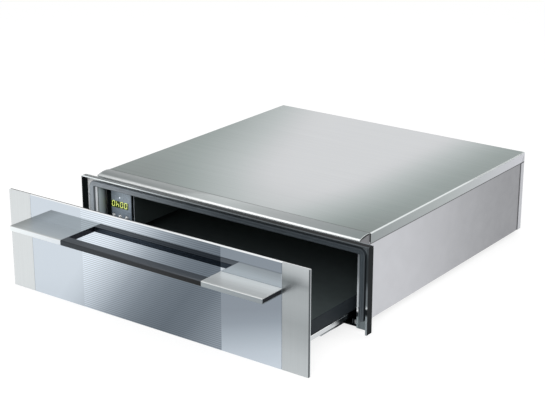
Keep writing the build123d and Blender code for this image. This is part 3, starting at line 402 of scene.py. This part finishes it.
# Side strips of 3 mm steel and the pressed base pan: powder coated black with a fine satin texture,
# drawn 1 to 1.5 mm wide, coarser than the real 0.5 mm.  The right strip's front edge is painted in
# grey and white bands, a painted reflection.
black_coat, tree, shader, place = new_finish("black_powder_coat", Specular_IOR_Level=0.04)
x, y, z = axes(tree, place)
painted_strip_edge_reflection = graded(tree, z, [
    (0.036, "868E92"), (0.040, "181C1E"), (0.048, "181C1E"), (0.051, "C8CED0"), (0.055, "6E7578"),
    (0.080, "62686C"), (0.095, "363B3E"), (0.128, "2E3336"), (0.142, "42474A")])
strip_front_face = times(tree, fade(tree, y, fold_front + 0.0002, fold_front + 0.0006, 1.0, 0.0),
                  fade(tree, x, 0.2896, 0.2899, 0.0, 1.0))
tree.links.new(laid_over(tree, strip_front_face, hex_colour("111517"), painted_strip_edge_reflection), shader.inputs["Base Color"])
tree.links.new(vary(tree, place, (700, 700, 700), 0.30, 0.42), shader.inputs["Roughness"])
bump(tree, shader, vary(tree, place, (900, 900, 900), 0.0, 1.0), 0.00004)
dress(black_coat, "shroud_strip_left", "shroud_strip_right", "base_pan")

# ---------------------------------------------------------------- door seal
# Seal round the top and both sides: extruded silicone rubber, flat behind, with rounded shoulders
# and a shallow groove along its face.  One length is bent round the corners and pinned to the frame
# at its lower ends.
seal_low, seal_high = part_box("door_gasket")
seal_width, seal_corner = 0.0095, 0.011
seal_back = seal_high.y
foot_z = seal_low.z + seal_width / 2
# half the profile, from the middle of the back round a shoulder to the groove: the distance in from
# the seal's edge, and forward
half_profile = [(seal_width / 2, 0.0), (0.0, 0.0), (0.0, 0.0012), (0.0003, 0.0015), (0.0003, 0.0040),
                (0.0006, 0.0047), (0.0013, 0.0052), (0.0036, 0.0052), (0.0040, 0.0050),
                (seal_width / 2, 0.0050)]
whole_profile = half_profile + [(seal_width - across, forward)
                                for across, forward in reversed(half_profile[1:-1])]
form = bmesh.new()


def draw_profile(points, side, closed):
    """Edges of a profile at the foot of the seal's left or right leg."""
    verts = [form.verts.new((side * (seal_high.x - across), seal_back - forward, foot_z))
             for across, forward in points]
    following = verts[1:] + verts[:1] if closed else verts[1:]
    return [form.edges.new(pair) for pair in zip(verts, following)]


def turn(edges, centre, angle, steps):
    """Spins the seal's end profile about a corner and returns the new end."""
    ends = {vert for part in edges for vert in part.verts}
    spun = bmesh.ops.spin(form, geom=[*ends, *edges], cent=centre, axis=(0, 1, 0), angle=angle,
                          steps=steps)
    return [part for part in spun["geom_last"] if isinstance(part, bmesh.types.BMEdge)]


inner_x = seal_high.x - seal_corner
corner_z = seal_high.z - seal_corner
last = draw_out(form, draw_profile(whole_profile, 1, True), (0, 0, corner_z - foot_z))
last = turn(last, (inner_x, seal_back, corner_z), -math.pi / 2, 10)
last = draw_out(form, last, (-2 * inner_x, 0, 0))
last = turn(last, (-inner_x, seal_back, corner_z), -math.pi / 2, 10)
draw_out(form, last, (0, 0, foot_z - corner_z))
for side in (1, -1):
    foot_centre = (side * (seal_high.x - seal_width / 2), seal_back, foot_z)
    turn(draw_profile(half_profile, side, False), foot_centre, side * math.pi, 14)
bmesh.ops.remove_doubles(form, verts=form.verts[:], dist=1e-6)
bmesh.ops.dissolve_degenerate(form, edges=form.edges[:], dist=1e-6)
bmesh.ops.recalc_face_normals(form, faces=form.faces[:])
if form.calc_volume(signed=True) < 0:
    bmesh.ops.reverse_faces(form, faces=form.faces[:])

silicone, tree, shader, place = new_finish("dark_silicone", Roughness=0.42)
x, y, z = axes(tree, place)
# painted light: the seal is painted lighter at the left and darker towards the right
painted_seal_light = graded(tree, x, [
    (-0.28, "979FA6"), (-0.187, "8E969D"), (-0.144, "7C848A"), (-0.058, "5E666C"), (0.028, "444B51"),
    (0.27, "394045")])
# painted shade on the sides, down in the frame's corner, and a painted highlight on the lower lip over the
# opening
beside = times(tree, fade(tree, y, seal_back - 0.0048, seal_back - 0.0042, 0.0, 1.0),
               fade(tree, z, opening_top, opening_top + 0.002, 0.64, 0.10))
free_of_painted_shade = add_node(tree, "ShaderNodeMath", {0: 1.0, 1: beside}, operation="SUBTRACT").outputs[0]
painted_shade_and_mottle = times(tree, free_of_painted_shade, fade(tree, z, opening_top, opening_top + 0.002, 1.22, 1.0),
             vary(tree, place, (90, 90, 90), 0.94, 1.06))
tree.links.new(tinted(tree, painted_seal_light, painted_shade_and_mottle), shader.inputs["Base Color"])
bump(tree, shader, vary(tree, place, (600, 600, 600), 0.0, 1.0), 0.00003)
finish_piece(form, "door_seal", silicone, "cabinet", ["door_gasket"], smooth=50)

# Seal pins and corner posts: blackened steel pins, and rounded posts of satin stainless.
blackened = new_finish("blackened_steel_pin", Base_Color=hex_colour("363C40"), Metallic=0.6,
                       Roughness=0.25)[0]
dress(blackened, "gasket_pins")
post_steel, tree, shader, place = new_finish("satin_stainless_post", Metallic=0.35)
x, y = axes(tree, place)[:2]
# painted light and shade: the left post is bright at the front and darkens as it turns back; the right one
# is painted dark
painted_post_shading = graded(tree, y, [(-0.272, "D0DCE1"), (-0.264, "AEB9BD"), (-0.254, "565B5F")])
painted_post_tone = laid_over(tree, fade(tree, x, -0.1, 0.1, 0.0, 1.0), painted_post_shading, hex_colour("3A3F42"))
tree.links.new(painted_post_tone, shader.inputs["Base Color"])
tree.links.new(vary(tree, place, (900, 900, 8), 0.42, 0.54), shader.inputs["Roughness"])
dress(post_steel, "corner_post_left", "corner_post_right")

# ---------------------------------------------------------------- lining of the warm space
# Roof, partition and back of the warm space: steel sheet with dark baked enamel, slightly
# glossy, with the faint orange peel of a fired coat.
enamel, tree, shader, place = new_finish("dark_enamel", Coat_Weight=0.2, Coat_Roughness=0.2, Roughness=0.45)
x, y = axes(tree, place)[:2]
shade = vary(tree, place, (25, 25, 25), 0.88, 1.12)
# the partition's front edge is cut bare, and bright
cut_edge = times(tree, fade(tree, distance(tree, x, -0.2085), 0.0006, 0.0009, 1.0, 0.0),
                 fade(tree, distance(tree, y, -0.2474), 0.0006, 0.0012, 1.0, 0.0))
tone = laid_over(tree, cut_edge, tinted(tree, hex_colour("333A3A"), shade), hex_colour("9AA2AA"))
tree.links.new(tone, shader.inputs["Base Color"])
bump(tree, shader, vary(tree, place, (220, 220, 220), 0.0, 1.0), 0.00006)
dress(enamel, "cavity_roof", "cavity_partition", "cavity_back")

# Insulation under the lid: needled mineral wool, buff, with short matted fibres.
wool, tree, shader, place = new_finish("mineral_wool", Roughness=0.95)
fibre = vary(tree, place, (500, 900, 300), 0.75, 1.1, detail=4.0)
tree.links.new(tinted(tree, hex_colour("C9C0A8"), fibre), shader.inputs["Base Color"])
bump(tree, shader, fibre, 0.0008)
dress(wool, "insulation_pad")

# ---------------------------------------------------------------- control unit
# Housing: folded sheet, powder coated black as the strips are.  Fascia: aluminium, coated blue
# grey with a fine metallic grain, and let in between the housing's edges.
dress(black_coat, "control_housing")
fascia_coat, tree, shader, place = new_finish("blue_grey_metallic_coat", Metallic=0.2, Roughness=0.4)
fleck = vary(tree, place, (420, 900, 420), 0.84, 1.16, detail=4.0)
# painted light: the fascia is painted lighter towards the top
painted_fascia_light = graded(tree, axes(tree, place)[2], [(0.080, "8C9AA8"), (0.125, "C6D4E0")])
tree.links.new(tinted(tree, painted_fascia_light, fleck), shader.inputs["Base Color"])
dress(fascia_coat, "control_fascia")

# Display: a window of smoked acrylic over a lamp panel, faintly lit in olive green.
display_low, display_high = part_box("display_module")
smoked = new_finish("smoked_acrylic", Base_Color=hex_colour("1C260C"), Roughness=0.12,
                    Emission_Color=hex_colour("283606"), Emission_Strength=0.9)[0]
dress(smoked, "display_module")

# Digits: four lit figures of seven strokes, leaning 6 degrees, that show hours and minutes.


def add_box(form, centre, size):
    """Adds a box to a form and returns its corners."""
    corners = bmesh.ops.create_cube(form, size=1.0)["verts"]
    bmesh.ops.scale(form, verts=corners, vec=size)
    bmesh.ops.translate(form, verts=corners, vec=centre)
    return corners


lit = new_finish("lit_segment", Base_Color=hex_colour("D3E078"), Roughness=0.3,
                 Emission_Color=hex_colour("D3E078"), Emission_Strength=1.0)[0]
stroke, figure_width, figure_height, figure_pitch, lit_rise = 0.0010, 0.0054, 0.0098, 0.0094, 0.0002
figures_left, figures_up = 0.0010, 0.0006
lean = math.tan(math.radians(6))
strokes = {
    "top": (0, 1, True), "middle": (0, 0, True), "bottom": (0, -1, True),
    "upper_left": (-1, 0.5, False), "upper_right": (1, 0.5, False),
    "lower_left": (-1, -0.5, False), "lower_right": (1, -0.5, False),
}
zero = set(strokes) - {"middle"}
small_h = {"upper_left", "lower_left", "middle", "lower_right"}
form = bmesh.new()
window_x = (display_low.x + display_high.x) / 2 - figures_left
window_z = (display_low.z + display_high.z) / 2 + figures_up
for place_in_row, shown in enumerate((zero, small_h, zero, zero)):
    figure_x = window_x + (place_in_row - 1.5) * figure_pitch
    for name, (across, up, level) in strokes.items():
        if name not in shown:
            continue
        length = figure_width if level else figure_height / 2
        size = (length * 0.86, stroke) if level else (stroke, length * 0.86)
        rise = up * figure_height / 2
        centre = (figure_x + across * figure_width / 2 + rise * lean, display_low.y, window_z + rise)
        bar = add_box(form, centre, (size[0], lit_rise * 2, size[1]))
        upright = [e for e in {e for v in bar for e in v.link_edges}
                   if abs(e.verts[0].co.y - e.verts[1].co.y) > lit_rise]
        bmesh.ops.bevel(form, geom=upright, offset=stroke * 0.42, segments=1, profile=0.5,
                        affect="EDGES", material=-1)
finish_piece(form, "display_figures", lit, "cabinet")

# Lamp and buttons: the lamp is a lit white lens, the caps are domed, chromium plated plastic.
lamp_glow = new_finish("lit_white_lamp", Base_Color=hex_colour("F2F5F6"), Roughness=0.2,
                       Emission_Color=hex_colour("F4F8FA"), Emission_Strength=1.0)[0]
dress(lamp_glow, "indicator_led")
cap_plastic = new_finish("chromed_cap", Base_Color=hex_colour("F2F5F7"), Metallic=0.7, Roughness=0.2)[0]
for number in (1, 2, 3):
    cap_low, cap_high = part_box(f"button_{number}")
    cap_x, cap_z = (cap_low.x + cap_high.x) / 2, (cap_low.z + cap_high.z) / 2
    rim_radius, cap_radius, depth = (cap_high.x - cap_low.x) / 2, 0.004, cap_high.y - cap_low.y
    form = bmesh.new()
    outline = [(0, 0), (0.0012, 0.0001), (0.0022, 0.0004), (0.0030, 0.0009), (0.0036, 0.0016),
               (cap_radius, 0.0026), (cap_radius, depth - 0.0008), (rim_radius, depth - 0.0008),
               (rim_radius, depth), (0, depth)]
    points = [form.verts.new((cap_x + r, cap_low.y + d, cap_z)) for r, d in outline]
    edges = [form.edges.new(pair) for pair in zip(points, points[1:])]
    bmesh.ops.spin(form, geom=points + edges, cent=(cap_x, 0, cap_z), axis=(0, 1, 0),
                   angle=2 * math.pi, steps=40, use_merge=True)
    bmesh.ops.remove_doubles(form, verts=form.verts[:], dist=1e-6)
    bmesh.ops.recalc_face_normals(form, faces=form.faces[:])
    finish_piece(form, f"button_cap_{number}", cap_plastic, f"key_{number}",
                 [f"button_{number}"])

# Circuit board behind the fascia: green solder resist on glass epoxy, its 0.7 mm weave just visible.
resist, tree, shader, place = new_finish("green_solder_resist", Roughness=0.35)
weave = add_node(tree, "ShaderNodeTexChecker", {"Vector": place, "Scale": 1500.0}).outputs["Fac"]
shade = fade(tree, weave, 0.0, 1.0, 0.92, 1.08)
tree.links.new(tinted(tree, hex_colour("1F5A34"), shade), shader.inputs["Base Color"])
dress(resist, "circuit_board")

# ---------------------------------------------------------------- warm air unit
# Fan housing and door switch body: bare galvanised steel.  Motor: black dipped steel.  Heater:
# steel tube, browned by heat.  Impeller: pressed aluminium.  Thermostat: white ceramic.


def mottled(name, code, scale, low, high, **shader_inputs):
    """A finish of one colour that varies evenly from spot to spot, as vary spreads it."""
    material, tree, shader, place = new_finish(name, **shader_inputs)
    shade = vary(tree, place, (scale, scale, scale), low, high)
    tree.links.new(tinted(tree, hex_colour(code), shade), shader.inputs["Base Color"])
    return material, tree, shader, place


dress(zinc, "fan_housing", "door_switch")
dress(mottled("black_dipped_steel", "34373A", 120, 0.8, 1.2, Metallic=0.4, Roughness=0.4)[0], "fan_motor")
dress(mottled("browned_steel_tube", "5C5048", 80, 0.7, 1.3, Metallic=1.0, Roughness=0.5)[0],
      "heating_element")
pressed, tree, shader, place = new_finish("pressed_aluminium", Base_Color=hex_colour("C3C5C8"),
                                          Metallic=1.0)
tree.links.new(vary(tree, place, (200, 200, 200), 0.3, 0.45), shader.inputs["Roughness"])
dress(pressed, "fan_impeller")
dress(mottled("white_ceramic", "E4E0D6", 150, 0.94, 1.04, Roughness=0.35)[0], "thermostat")

# ---------------------------------------------------------------- connection
# Terminal block: ivory polyamide.  Cable gland: black polyamide, both moulded and dull.
dress(mottled("ivory_polyamide", "D6D3C8", 300, 0.95, 1.04, Roughness=0.55)[0], "terminal_block")
polyamide, tree, shader, place = mottled("black_polyamide", "1C1D1F", 500, 0.85, 1.2, Roughness=0.5)
bump(tree, shader, vary(tree, place, (1200, 1200, 1200), 0.0, 1.0), 0.00003)
dress(polyamide, "cable_gland")

# ---------------------------------------------------------------- rails and screws
# Telescopic rails: rolled steel, bright zinc plated, painted dark behind as painted shade, with hard
# steel balls in steel cages.
plated, tree, shader, place = new_finish("bright_zinc_plate", Metallic=1.0)
y, z = axes(tree, place)[1:]
painted_rail_shade = graded(tree, y, [(-0.322, "CDD0D2"), (-0.306, "303336")])
# painted highlight: a light line along the drawer rails' upper edge
painted_rail_highlight = times(tree, fade(tree, z, 0.0318, 0.0322, 0.0, 1.0), fade(tree, y, -0.300, -0.275, 1.0, 0.3))
painted_rail_shade = laid_over(tree, painted_rail_highlight, painted_rail_shade, hex_colour("F4F6F7"))
tree.links.new(tinted(tree, painted_rail_shade, vary(tree, place, (60, 12, 60), 0.93, 1.04)),
               shader.inputs["Base Color"])
# rolling marks 3 mm wide, coarser than the real ones
tree.links.new(vary(tree, place, (300, 30, 300), 0.16, 0.28), shader.inputs["Roughness"])
rails = [f"{kind}_{side}" for kind in ("cabinet_rail", "middle_rail", "drawer_rail", "lower_cage",
                                       "upper_cage") for side in ("left", "right")]
dress(plated, *rails)
dress(plated, "cabinet_screws", "drawer_screws", "handle_screws")
dress(new_finish("light_grey_acetal", Base_Color=hex_colour("8C9193"), Roughness=0.4)[0], "rail_stops")

# ---------------------------------------------------------------- drawer
# Tray: dark grey powder coated steel, folded up and welded at its rounded corners.
# The coat's texture is drawn as coarse as on the side strips.
tray_coat, tree, shader, place = mottled("dark_grey_powder_coat", "272C30", 40, 0.95, 1.05,
                                         Specular_IOR_Level=0.05)
tree.links.new(vary(tree, place, (600, 600, 600), 0.36, 0.5), shader.inputs["Roughness"])
bump(tree, shader, vary(tree, place, (700, 700, 700), 0.0, 1.0), 0.00004)
tray_low, tray_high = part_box("drawer_tray")
form = bmesh.new()
add_box(form, (tray_low + tray_high) / 2, tray_high - tray_low)
top_face = max(form.faces, key=lambda face: face.calc_center_median().z)
bmesh.ops.delete(form, geom=[top_face], context="FACES_ONLY")
bends = [e for e in form.edges if not e.is_boundary]
bmesh.ops.bevel(form, geom=bends, offset=0.003, segments=4, profile=0.5, affect="EDGES", material=-1)
bmesh.ops.recalc_face_normals(form, faces=form.faces[:])
tray = finish_piece(form, "tray", tray_coat, "drawer", ["drawer_tray"], flat_area=0.0008)
thicken(tray, 0.0012)

# Mat: dark rubber, its top moulded with small raised studs 5.6 mm apart so that dishes don't slide.
mat_rubber, tree, shader, place = mottled("studded_rubber", "424A4B", 60, 0.93, 1.07, Roughness=0.6)
studs = add_node(tree, "ShaderNodeTexVoronoi", {"Vector": place, "Scale": 180.0, "Randomness": 0.0})
stud = fade(tree, studs.outputs["Distance"], 0.25, 0.4, 1.0, 0.0)
bump(tree, shader, stud, 0.0005)
dress(mat_rubber, "anti_slip_mat")

# Inner front and its magnet: the closed tray behind the glass, enamelled dark as the lining is.
dress(enamel, "inner_front")
dress(polyamide, "switch_magnet")

# ---------------------------------------------------------------- front
# Backplate: galvanised steel, the front's carrier.  Its top edge is painted as a dark line at the left
# and as a painted highlight at the right, and its right end is painted light.
front_half, front_top = 0.2985, 0.169
carrier_zinc, tree, shader, place = new_finish("grey_galvanised_plate", Metallic=1.0, Roughness=0.4)
x, _, z = axes(tree, place)
painted_top_edge_light = graded(tree, x, [(-0.05, "14171A"), (0.10, "F2F4F5")])
right_end = fade(tree, x, front_half - 0.0005, front_half - 0.0001, 0.0, 1.0)
plate_with_painted_end = laid_over(tree, right_end, hex_colour("50555A"), hex_colour("C4C9CC"))
top_edge = fade(tree, z, front_top - 0.0010, front_top - 0.0004, 0.0, 1.0)
plate_tone = laid_over(tree, top_edge, plate_with_painted_end, painted_top_edge_light)
tree.links.new(tinted(tree, plate_tone, vary(tree, place, (30, 30, 30), 0.95, 1.05)),
               shader.inputs["Base Color"])
dress(carrier_zinc, "front_backplate")

# Glass: 3.5 mm float glass, silvered behind so that it mirrors.  Painted reflection grades its
# tone aslant from pale blue at the left to slate past the middle, and downwards right of the middle
# panel.  Fine lines, 3.3 mm apart, are printed over the middle panel between the handle's shelves.
panel_half, glass_top, line_pitch = 0.140, 0.165, 0.00334
mirror, tree, shader, place = new_finish("mirror_glass_painted_reflection", Metallic=1.0, Roughness=0.01)
x, _, z = axes(tree, place)
down = add_node(tree, "ShaderNodeMath", {0: glass_top, 1: z}, operation="SUBTRACT").outputs[0]
aslant = add_node(tree, "ShaderNodeMath", {0: down, 1: 0.77, 2: x}, operation="MULTIPLY_ADD")
painted_middle_reflection = graded(tree, aslant.outputs[0], [
    (-0.075, "D4DDE6"), (-0.045, "CBD4DD"), (-0.015, "BAC3CC"), (0.03, "939CA5"), (0.07, "79828B"),
    (0.105, "6B747D"), (0.145, "636C75"), (0.185, "6A737C"), (0.25, "88919A")])
across = add_node(tree, "ShaderNodeMath", {0: x, 1: panel_half}, operation="SUBTRACT").outputs[0]
falling = add_node(tree, "ShaderNodeMath", {0: across, 1: 0.3, 2: down}, operation="MULTIPLY_ADD")
painted_right_tone = graded(tree, falling.outputs[0], [
    (0.0, "808992"), (0.10, "878F98"), (0.12, "9099A2"), (0.148, "ABB4BD"), (0.167, "BBC4CD"),
    (0.19, "C6CFD8")])
# painted reflection of the right shelf: paler over it
painted_shelf_reflection = times(tree, fade(tree, z, 0.1290, 0.1310, 0.0, 0.8), fade(tree, z, 0.1500, 0.1530, 1.0, 0.0))
painted_right_tone = laid_over(tree, painted_shelf_reflection, painted_right_tone, hex_colour("CAD1D8"))
wave = add_node(tree, "ShaderNodeTexWave", {"Vector": place, "Scale": math.pi / 10 / line_pitch},
                wave_type="BANDS", bands_direction="Z", wave_profile="SIN")
lines = fade(tree, wave.outputs["Fac"], 0.35, 0.65, 0.84, 1.14)
beside = fade(tree, distance(tree, x), panel_half - 0.0002, panel_half + 0.0002, 0.0, 1.0)
printed = add_node(tree, "ShaderNodeMix", {"Factor": beside, "A": lines, "B": 0.90}).outputs[0]
tone = tinted(tree, painted_middle_reflection, printed)
right_side = fade(tree, x, panel_half - 0.0002, panel_half + 0.0002, 0.0, 1.0)
tone = laid_over(tree, right_side, tone, painted_right_tone)
# painted highlight on the ground upper edge
painted_glass_edge_highlight = fade(tree, z, front_top - 0.0006, front_top - 0.0002, 0.0, 1.0)
tone = laid_over(tree, painted_glass_edge_highlight, tone, hex_colour("F4F6F8"))
tree.links.new(tone, shader.inputs["Base Color"])


def edged_plate(low, high, edge, segments=2):
    """A flat plate with small ground edges, between two corners."""
    form = bmesh.new()
    add_box(form, (low + high) / 2, high - low)
    bmesh.ops.bevel(form, geom=form.edges[:], offset=edge, segments=segments, profile=0.5,
                    affect="EDGES", material=-1)
    return form


finish_piece(edged_plate(*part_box("front_glass"), 0.0004), "mirror_glass", mirror, "drawer",
             ["front_glass"], smooth=50, flat_area=0.0003)

# End strips: stainless steel beside the glass, brushed upright, edges broken.  The brush lines are
# drawn 2 mm wide, coarser than the real 0.2 mm.
strip_steel, tree, shader, place = new_finish("brushed_stainless_strip", Metallic=1.0)
x, _, z = axes(tree, place)
# painted light and shade: the right strip's tone rises and falls up its height, darkest beside the handle;
# the left strip is a lighter even grey
painted_strip_shade = graded(tree, z, [
    (0.0, "BEC3C5"), (0.03, "B6BBBD"), (0.06, "A4A9AB"), (0.08, "9CA1A3"), (0.112, "A4A9AB"),
    (0.133, "A1A6A8"), (0.142, "929799"), (0.155, "B2B7B9"), (0.169, "BCC1C3")])
tone = laid_over(tree, fade(tree, x, -0.01, 0.01, 1.0, 0.0), painted_strip_shade, hex_colour("D8DCDD"))
# painted shade: the outer edge is painted dark
painted_outer_edge_shade = fade(tree, distance(tree, x), front_half - 0.0005, front_half - 0.0001, 0.0, 1.0)
tone = laid_over(tree, painted_outer_edge_shade, tone, hex_colour("4C5154"))
tree.links.new(tinted(tree, tone, vary(tree, place, (500, 500, 8), 0.98, 1.02)),
               shader.inputs["Base Color"])
tree.links.new(vary(tree, place, (500, 500, 6), 0.30, 0.36), shader.inputs["Roughness"])
for side in ("left", "right"):
    finish_piece(edged_plate(*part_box(f"front_strip_{side}"), 0.0004), f"end_strip_{side}", strip_steel,
                 "drawer", [f"front_strip_{side}"], smooth=50, flat_area=0.0003)

# ---------------------------------------------------------------- handle
# Shelves: drawn stainless steel box section, ground and polished.  Inserts: black moulded
# plastic, pushed in from both ends.  Bar: aluminium, anodised dark grey, set between them.  The
# grain of steel and aluminium is drawn 2 mm wide, coarser than the real 0.1 mm.
shelf_steel, tree, shader, place = new_finish("polished_stainless_shelf")
x, y, z = axes(tree, place)
# painted light and shade: the shelves' fronts are near white at the left and grey at the right, the left top
# lighter inwards, the right top darker towards the front
painted_front_tone = graded(tree, x, [(-0.25, "F4F9FA"), (-0.14, "DDE3E8"), (0.14, "9BA2A5"), (0.25, "8E9599")])
painted_left_top = graded(tree, x, [(-0.25, "9EA1A1"), (-0.22, "BCC0C1"), (-0.14, "C2C6C6")])
painted_right_top = tinted(tree, hex_colour("D8DCDC"), fade(tree, y, -0.490, -0.452, 0.68, 1.05))
top_tone = laid_over(tree, fade(tree, x, -0.01, 0.01, 0.0, 1.0), painted_left_top, painted_right_top)
on_top = fade(tree, z, 0.1284, 0.1290, 0.0, 1.0)
tone = laid_over(tree, on_top, painted_front_tone, top_tone)
# painted highlight: the polished edge is painted a light line
painted_upper_highlight = fade(tree, distance(tree, z, 0.1286), 0.0002, 0.0006, 0.6, 0.0)
tone = laid_over(tree, painted_upper_highlight, tone, hex_colour("F4F7F7"))
# painted shade: the end towards the bar is painted dark between the insert and the glass
painted_inner_end_shade = fade(tree, distance(tree, x), 0.1402, 0.1406, 1.0, 0.0)
tone = laid_over(tree, painted_inner_end_shade, tone, hex_colour("22242A"))
tree.links.new(tinted(tree, tone, vary(tree, place, (6, 500, 500), 0.96, 1.04)), shader.inputs["Base Color"])
tree.links.new(vary(tree, place, (8, 500, 500), 0.30, 0.38), shader.inputs["Roughness"])
# the right shelf's top is ground duller than the rest
dull = times(tree, fade(tree, x, 0.0, 0.1, 0.0, 0.65), on_top)
tree.links.new(add_node(tree, "ShaderNodeMath", {0: 1.0, 1: dull}, operation="SUBTRACT").outputs[0],
               shader.inputs["Metallic"])
dress(shelf_steel, "handle_shelf_left", "handle_shelf_right")
gloss_black = new_finish("gloss_black_plastic", Base_Color=hex_colour("1B1C21"), Roughness=0.25,
                         Specular_IOR_Level=0.1)[0]
dress(gloss_black, "handle_insert_left", "handle_insert_right")
anodised, tree, shader, place = new_finish("dark_anodised_aluminium", Metallic=0.6, Roughness=0.34)
x, y, z = axes(tree, place)
# painted light: the bar's front, top and back are graded from left to right
painted_front_tone = graded(tree, x, [(-0.14, "2F353A"), (0.0, "272A2D"), (0.14, "0A0C0E")])
painted_bar_top = graded(tree, x, [(-0.14, "24282C"), (0.0, "3C4045"), (0.14, "4E5359")])
painted_back_tone = graded(tree, x, [(-0.14, "3C4044"), (-0.05, "5C6066"), (0.14, "A4A8AE")])
painted_front_tone = laid_over(tree, fade(tree, y, -0.4792, -0.4784, 0.0, 1.0), painted_front_tone, painted_back_tone)
tone = laid_over(tree, fade(tree, z, 0.1278, 0.1294, 0.0, 1.0), painted_front_tone, painted_bar_top)
tree.links.new(tinted(tree, tone, vary(tree, place, (6, 600, 600), 0.93, 1.07)), shader.inputs["Base Color"])
dress(anodised, "handle_bar")

# ---------------------------------------------------------------- floor, light and camera
# A plain white floor and white surroundings.  The floor is seen white and still takes the shadow.


def seen_or_mirrored(tree):
    """1 on rays from the camera, off a mirror or through glass, and 0 on those that only light."""
    ray = add_node(tree, "ShaderNodeLightPath").outputs
    share = ray["Is Camera Ray"]
    for kind in ("Is Glossy Ray", "Is Transmission Ray"):
        share = add_node(tree, "ShaderNodeMath", {0: share, 1: ray[kind]}, operation="MAXIMUM").outputs[0]
    return share


floor_form = bmesh.new()
bmesh.ops.create_grid(floor_form, x_segments=1, y_segments=1, size=15.0)
floor_mesh = bpy.data.meshes.new("floor")
floor_form.to_mesh(floor_mesh)
floor_form.free()
floor = bpy.data.objects.new("floor", floor_mesh)
bpy.context.scene.collection.objects.link(floor)
floor_white = bpy.data.materials.new("floor_white")
floor_white.use_nodes = True
tree = floor_white.node_tree
tree.nodes.clear()
lit_floor = add_node(tree, "ShaderNodeBsdfDiffuse", {"Color": (0.8, 0.8, 0.8, 1.0)})
shadow_floor = add_node(tree, "ShaderNodeBsdfDiffuse", {"Color": (0.26, 0.26, 0.26, 1.0)})
glow = add_node(tree, "ShaderNodeEmission", {"Color": (1.0, 1.0, 1.0, 1.0), "Strength": 0.80})
seen_floor = add_node(tree, "ShaderNodeAddShader", {0: shadow_floor.outputs[0], 1: glow.outputs[0]})
mixed = add_node(tree, "ShaderNodeMixShader",
                 {0: seen_or_mirrored(tree), 1: lit_floor.outputs[0], 2: seen_floor.outputs[0]})
add_node(tree, "ShaderNodeOutputMaterial", {"Surface": mixed.outputs[0]})
floor_mesh.materials.append(floor_white)

# World: white where it is seen or mirrored, a plain level where it lights.
world = bpy.data.worlds.new("studio")
bpy.context.scene.world = world
world.use_nodes = True
tree = world.node_tree
tree.nodes.clear()
ambient = add_node(tree, "ShaderNodeBackground", {"Color": (1.0, 1.0, 1.0, 1.0), "Strength": 0.70})
white = add_node(tree, "ShaderNodeBackground", {"Color": (1.0, 1.0, 1.0, 1.0), "Strength": 1.0})
mixed = add_node(tree, "ShaderNodeMixShader",
                 {0: seen_or_mirrored(tree), 1: ambient.outputs[0], 2: white.outputs[0]})
add_node(tree, "ShaderNodeOutputWorld", {"Surface": mixed.outputs[0]})

# Soft lamps: one large above, one in front at the camera's side, one lower at the right.  Metal
# mirrors the white surroundings alone.
for name, spot, size, power in (("over", (0.3, -0.6, 2.2), 2.0, 9.0), ("front", (1.2, -2.2, 1.3), 1.2, 30.0),
                                ("right", (2.4, -1.4, 1.2), 1.4, 4.0)):
    lamp = bpy.data.lights.new(name, "AREA")
    lamp.shape = "SQUARE"
    lamp.size = size
    lamp.energy = power
    stand = bpy.data.objects.new(name, lamp)
    bpy.context.scene.collection.objects.link(stand)
    stand.location = spot
    stand.rotation_euler = (Vector((0, -0.1, 0.1)) - Vector(spot)).to_track_quat("-Z", "Y").to_euler()
    stand.visible_glossy = False

# Camera at the photograph's angle, on the frame's right and a little above.
camera_data = bpy.data.cameras.new("camera")
camera_data.sensor_width = 36.0
camera_data.lens = 95.05
camera_data.clip_end = 60.0
camera = bpy.data.objects.new("camera", camera_data)
bpy.context.scene.collection.objects.link(camera)
camera.location = (1.3630, -1.9887, 0.9259)
camera.rotation_euler = (math.radians(90 - 19.529), 0.0, math.radians(36.227))
bpy.context.scene.camera = camera
bpy.context.scene.view_settings.view_transform = "Standard"
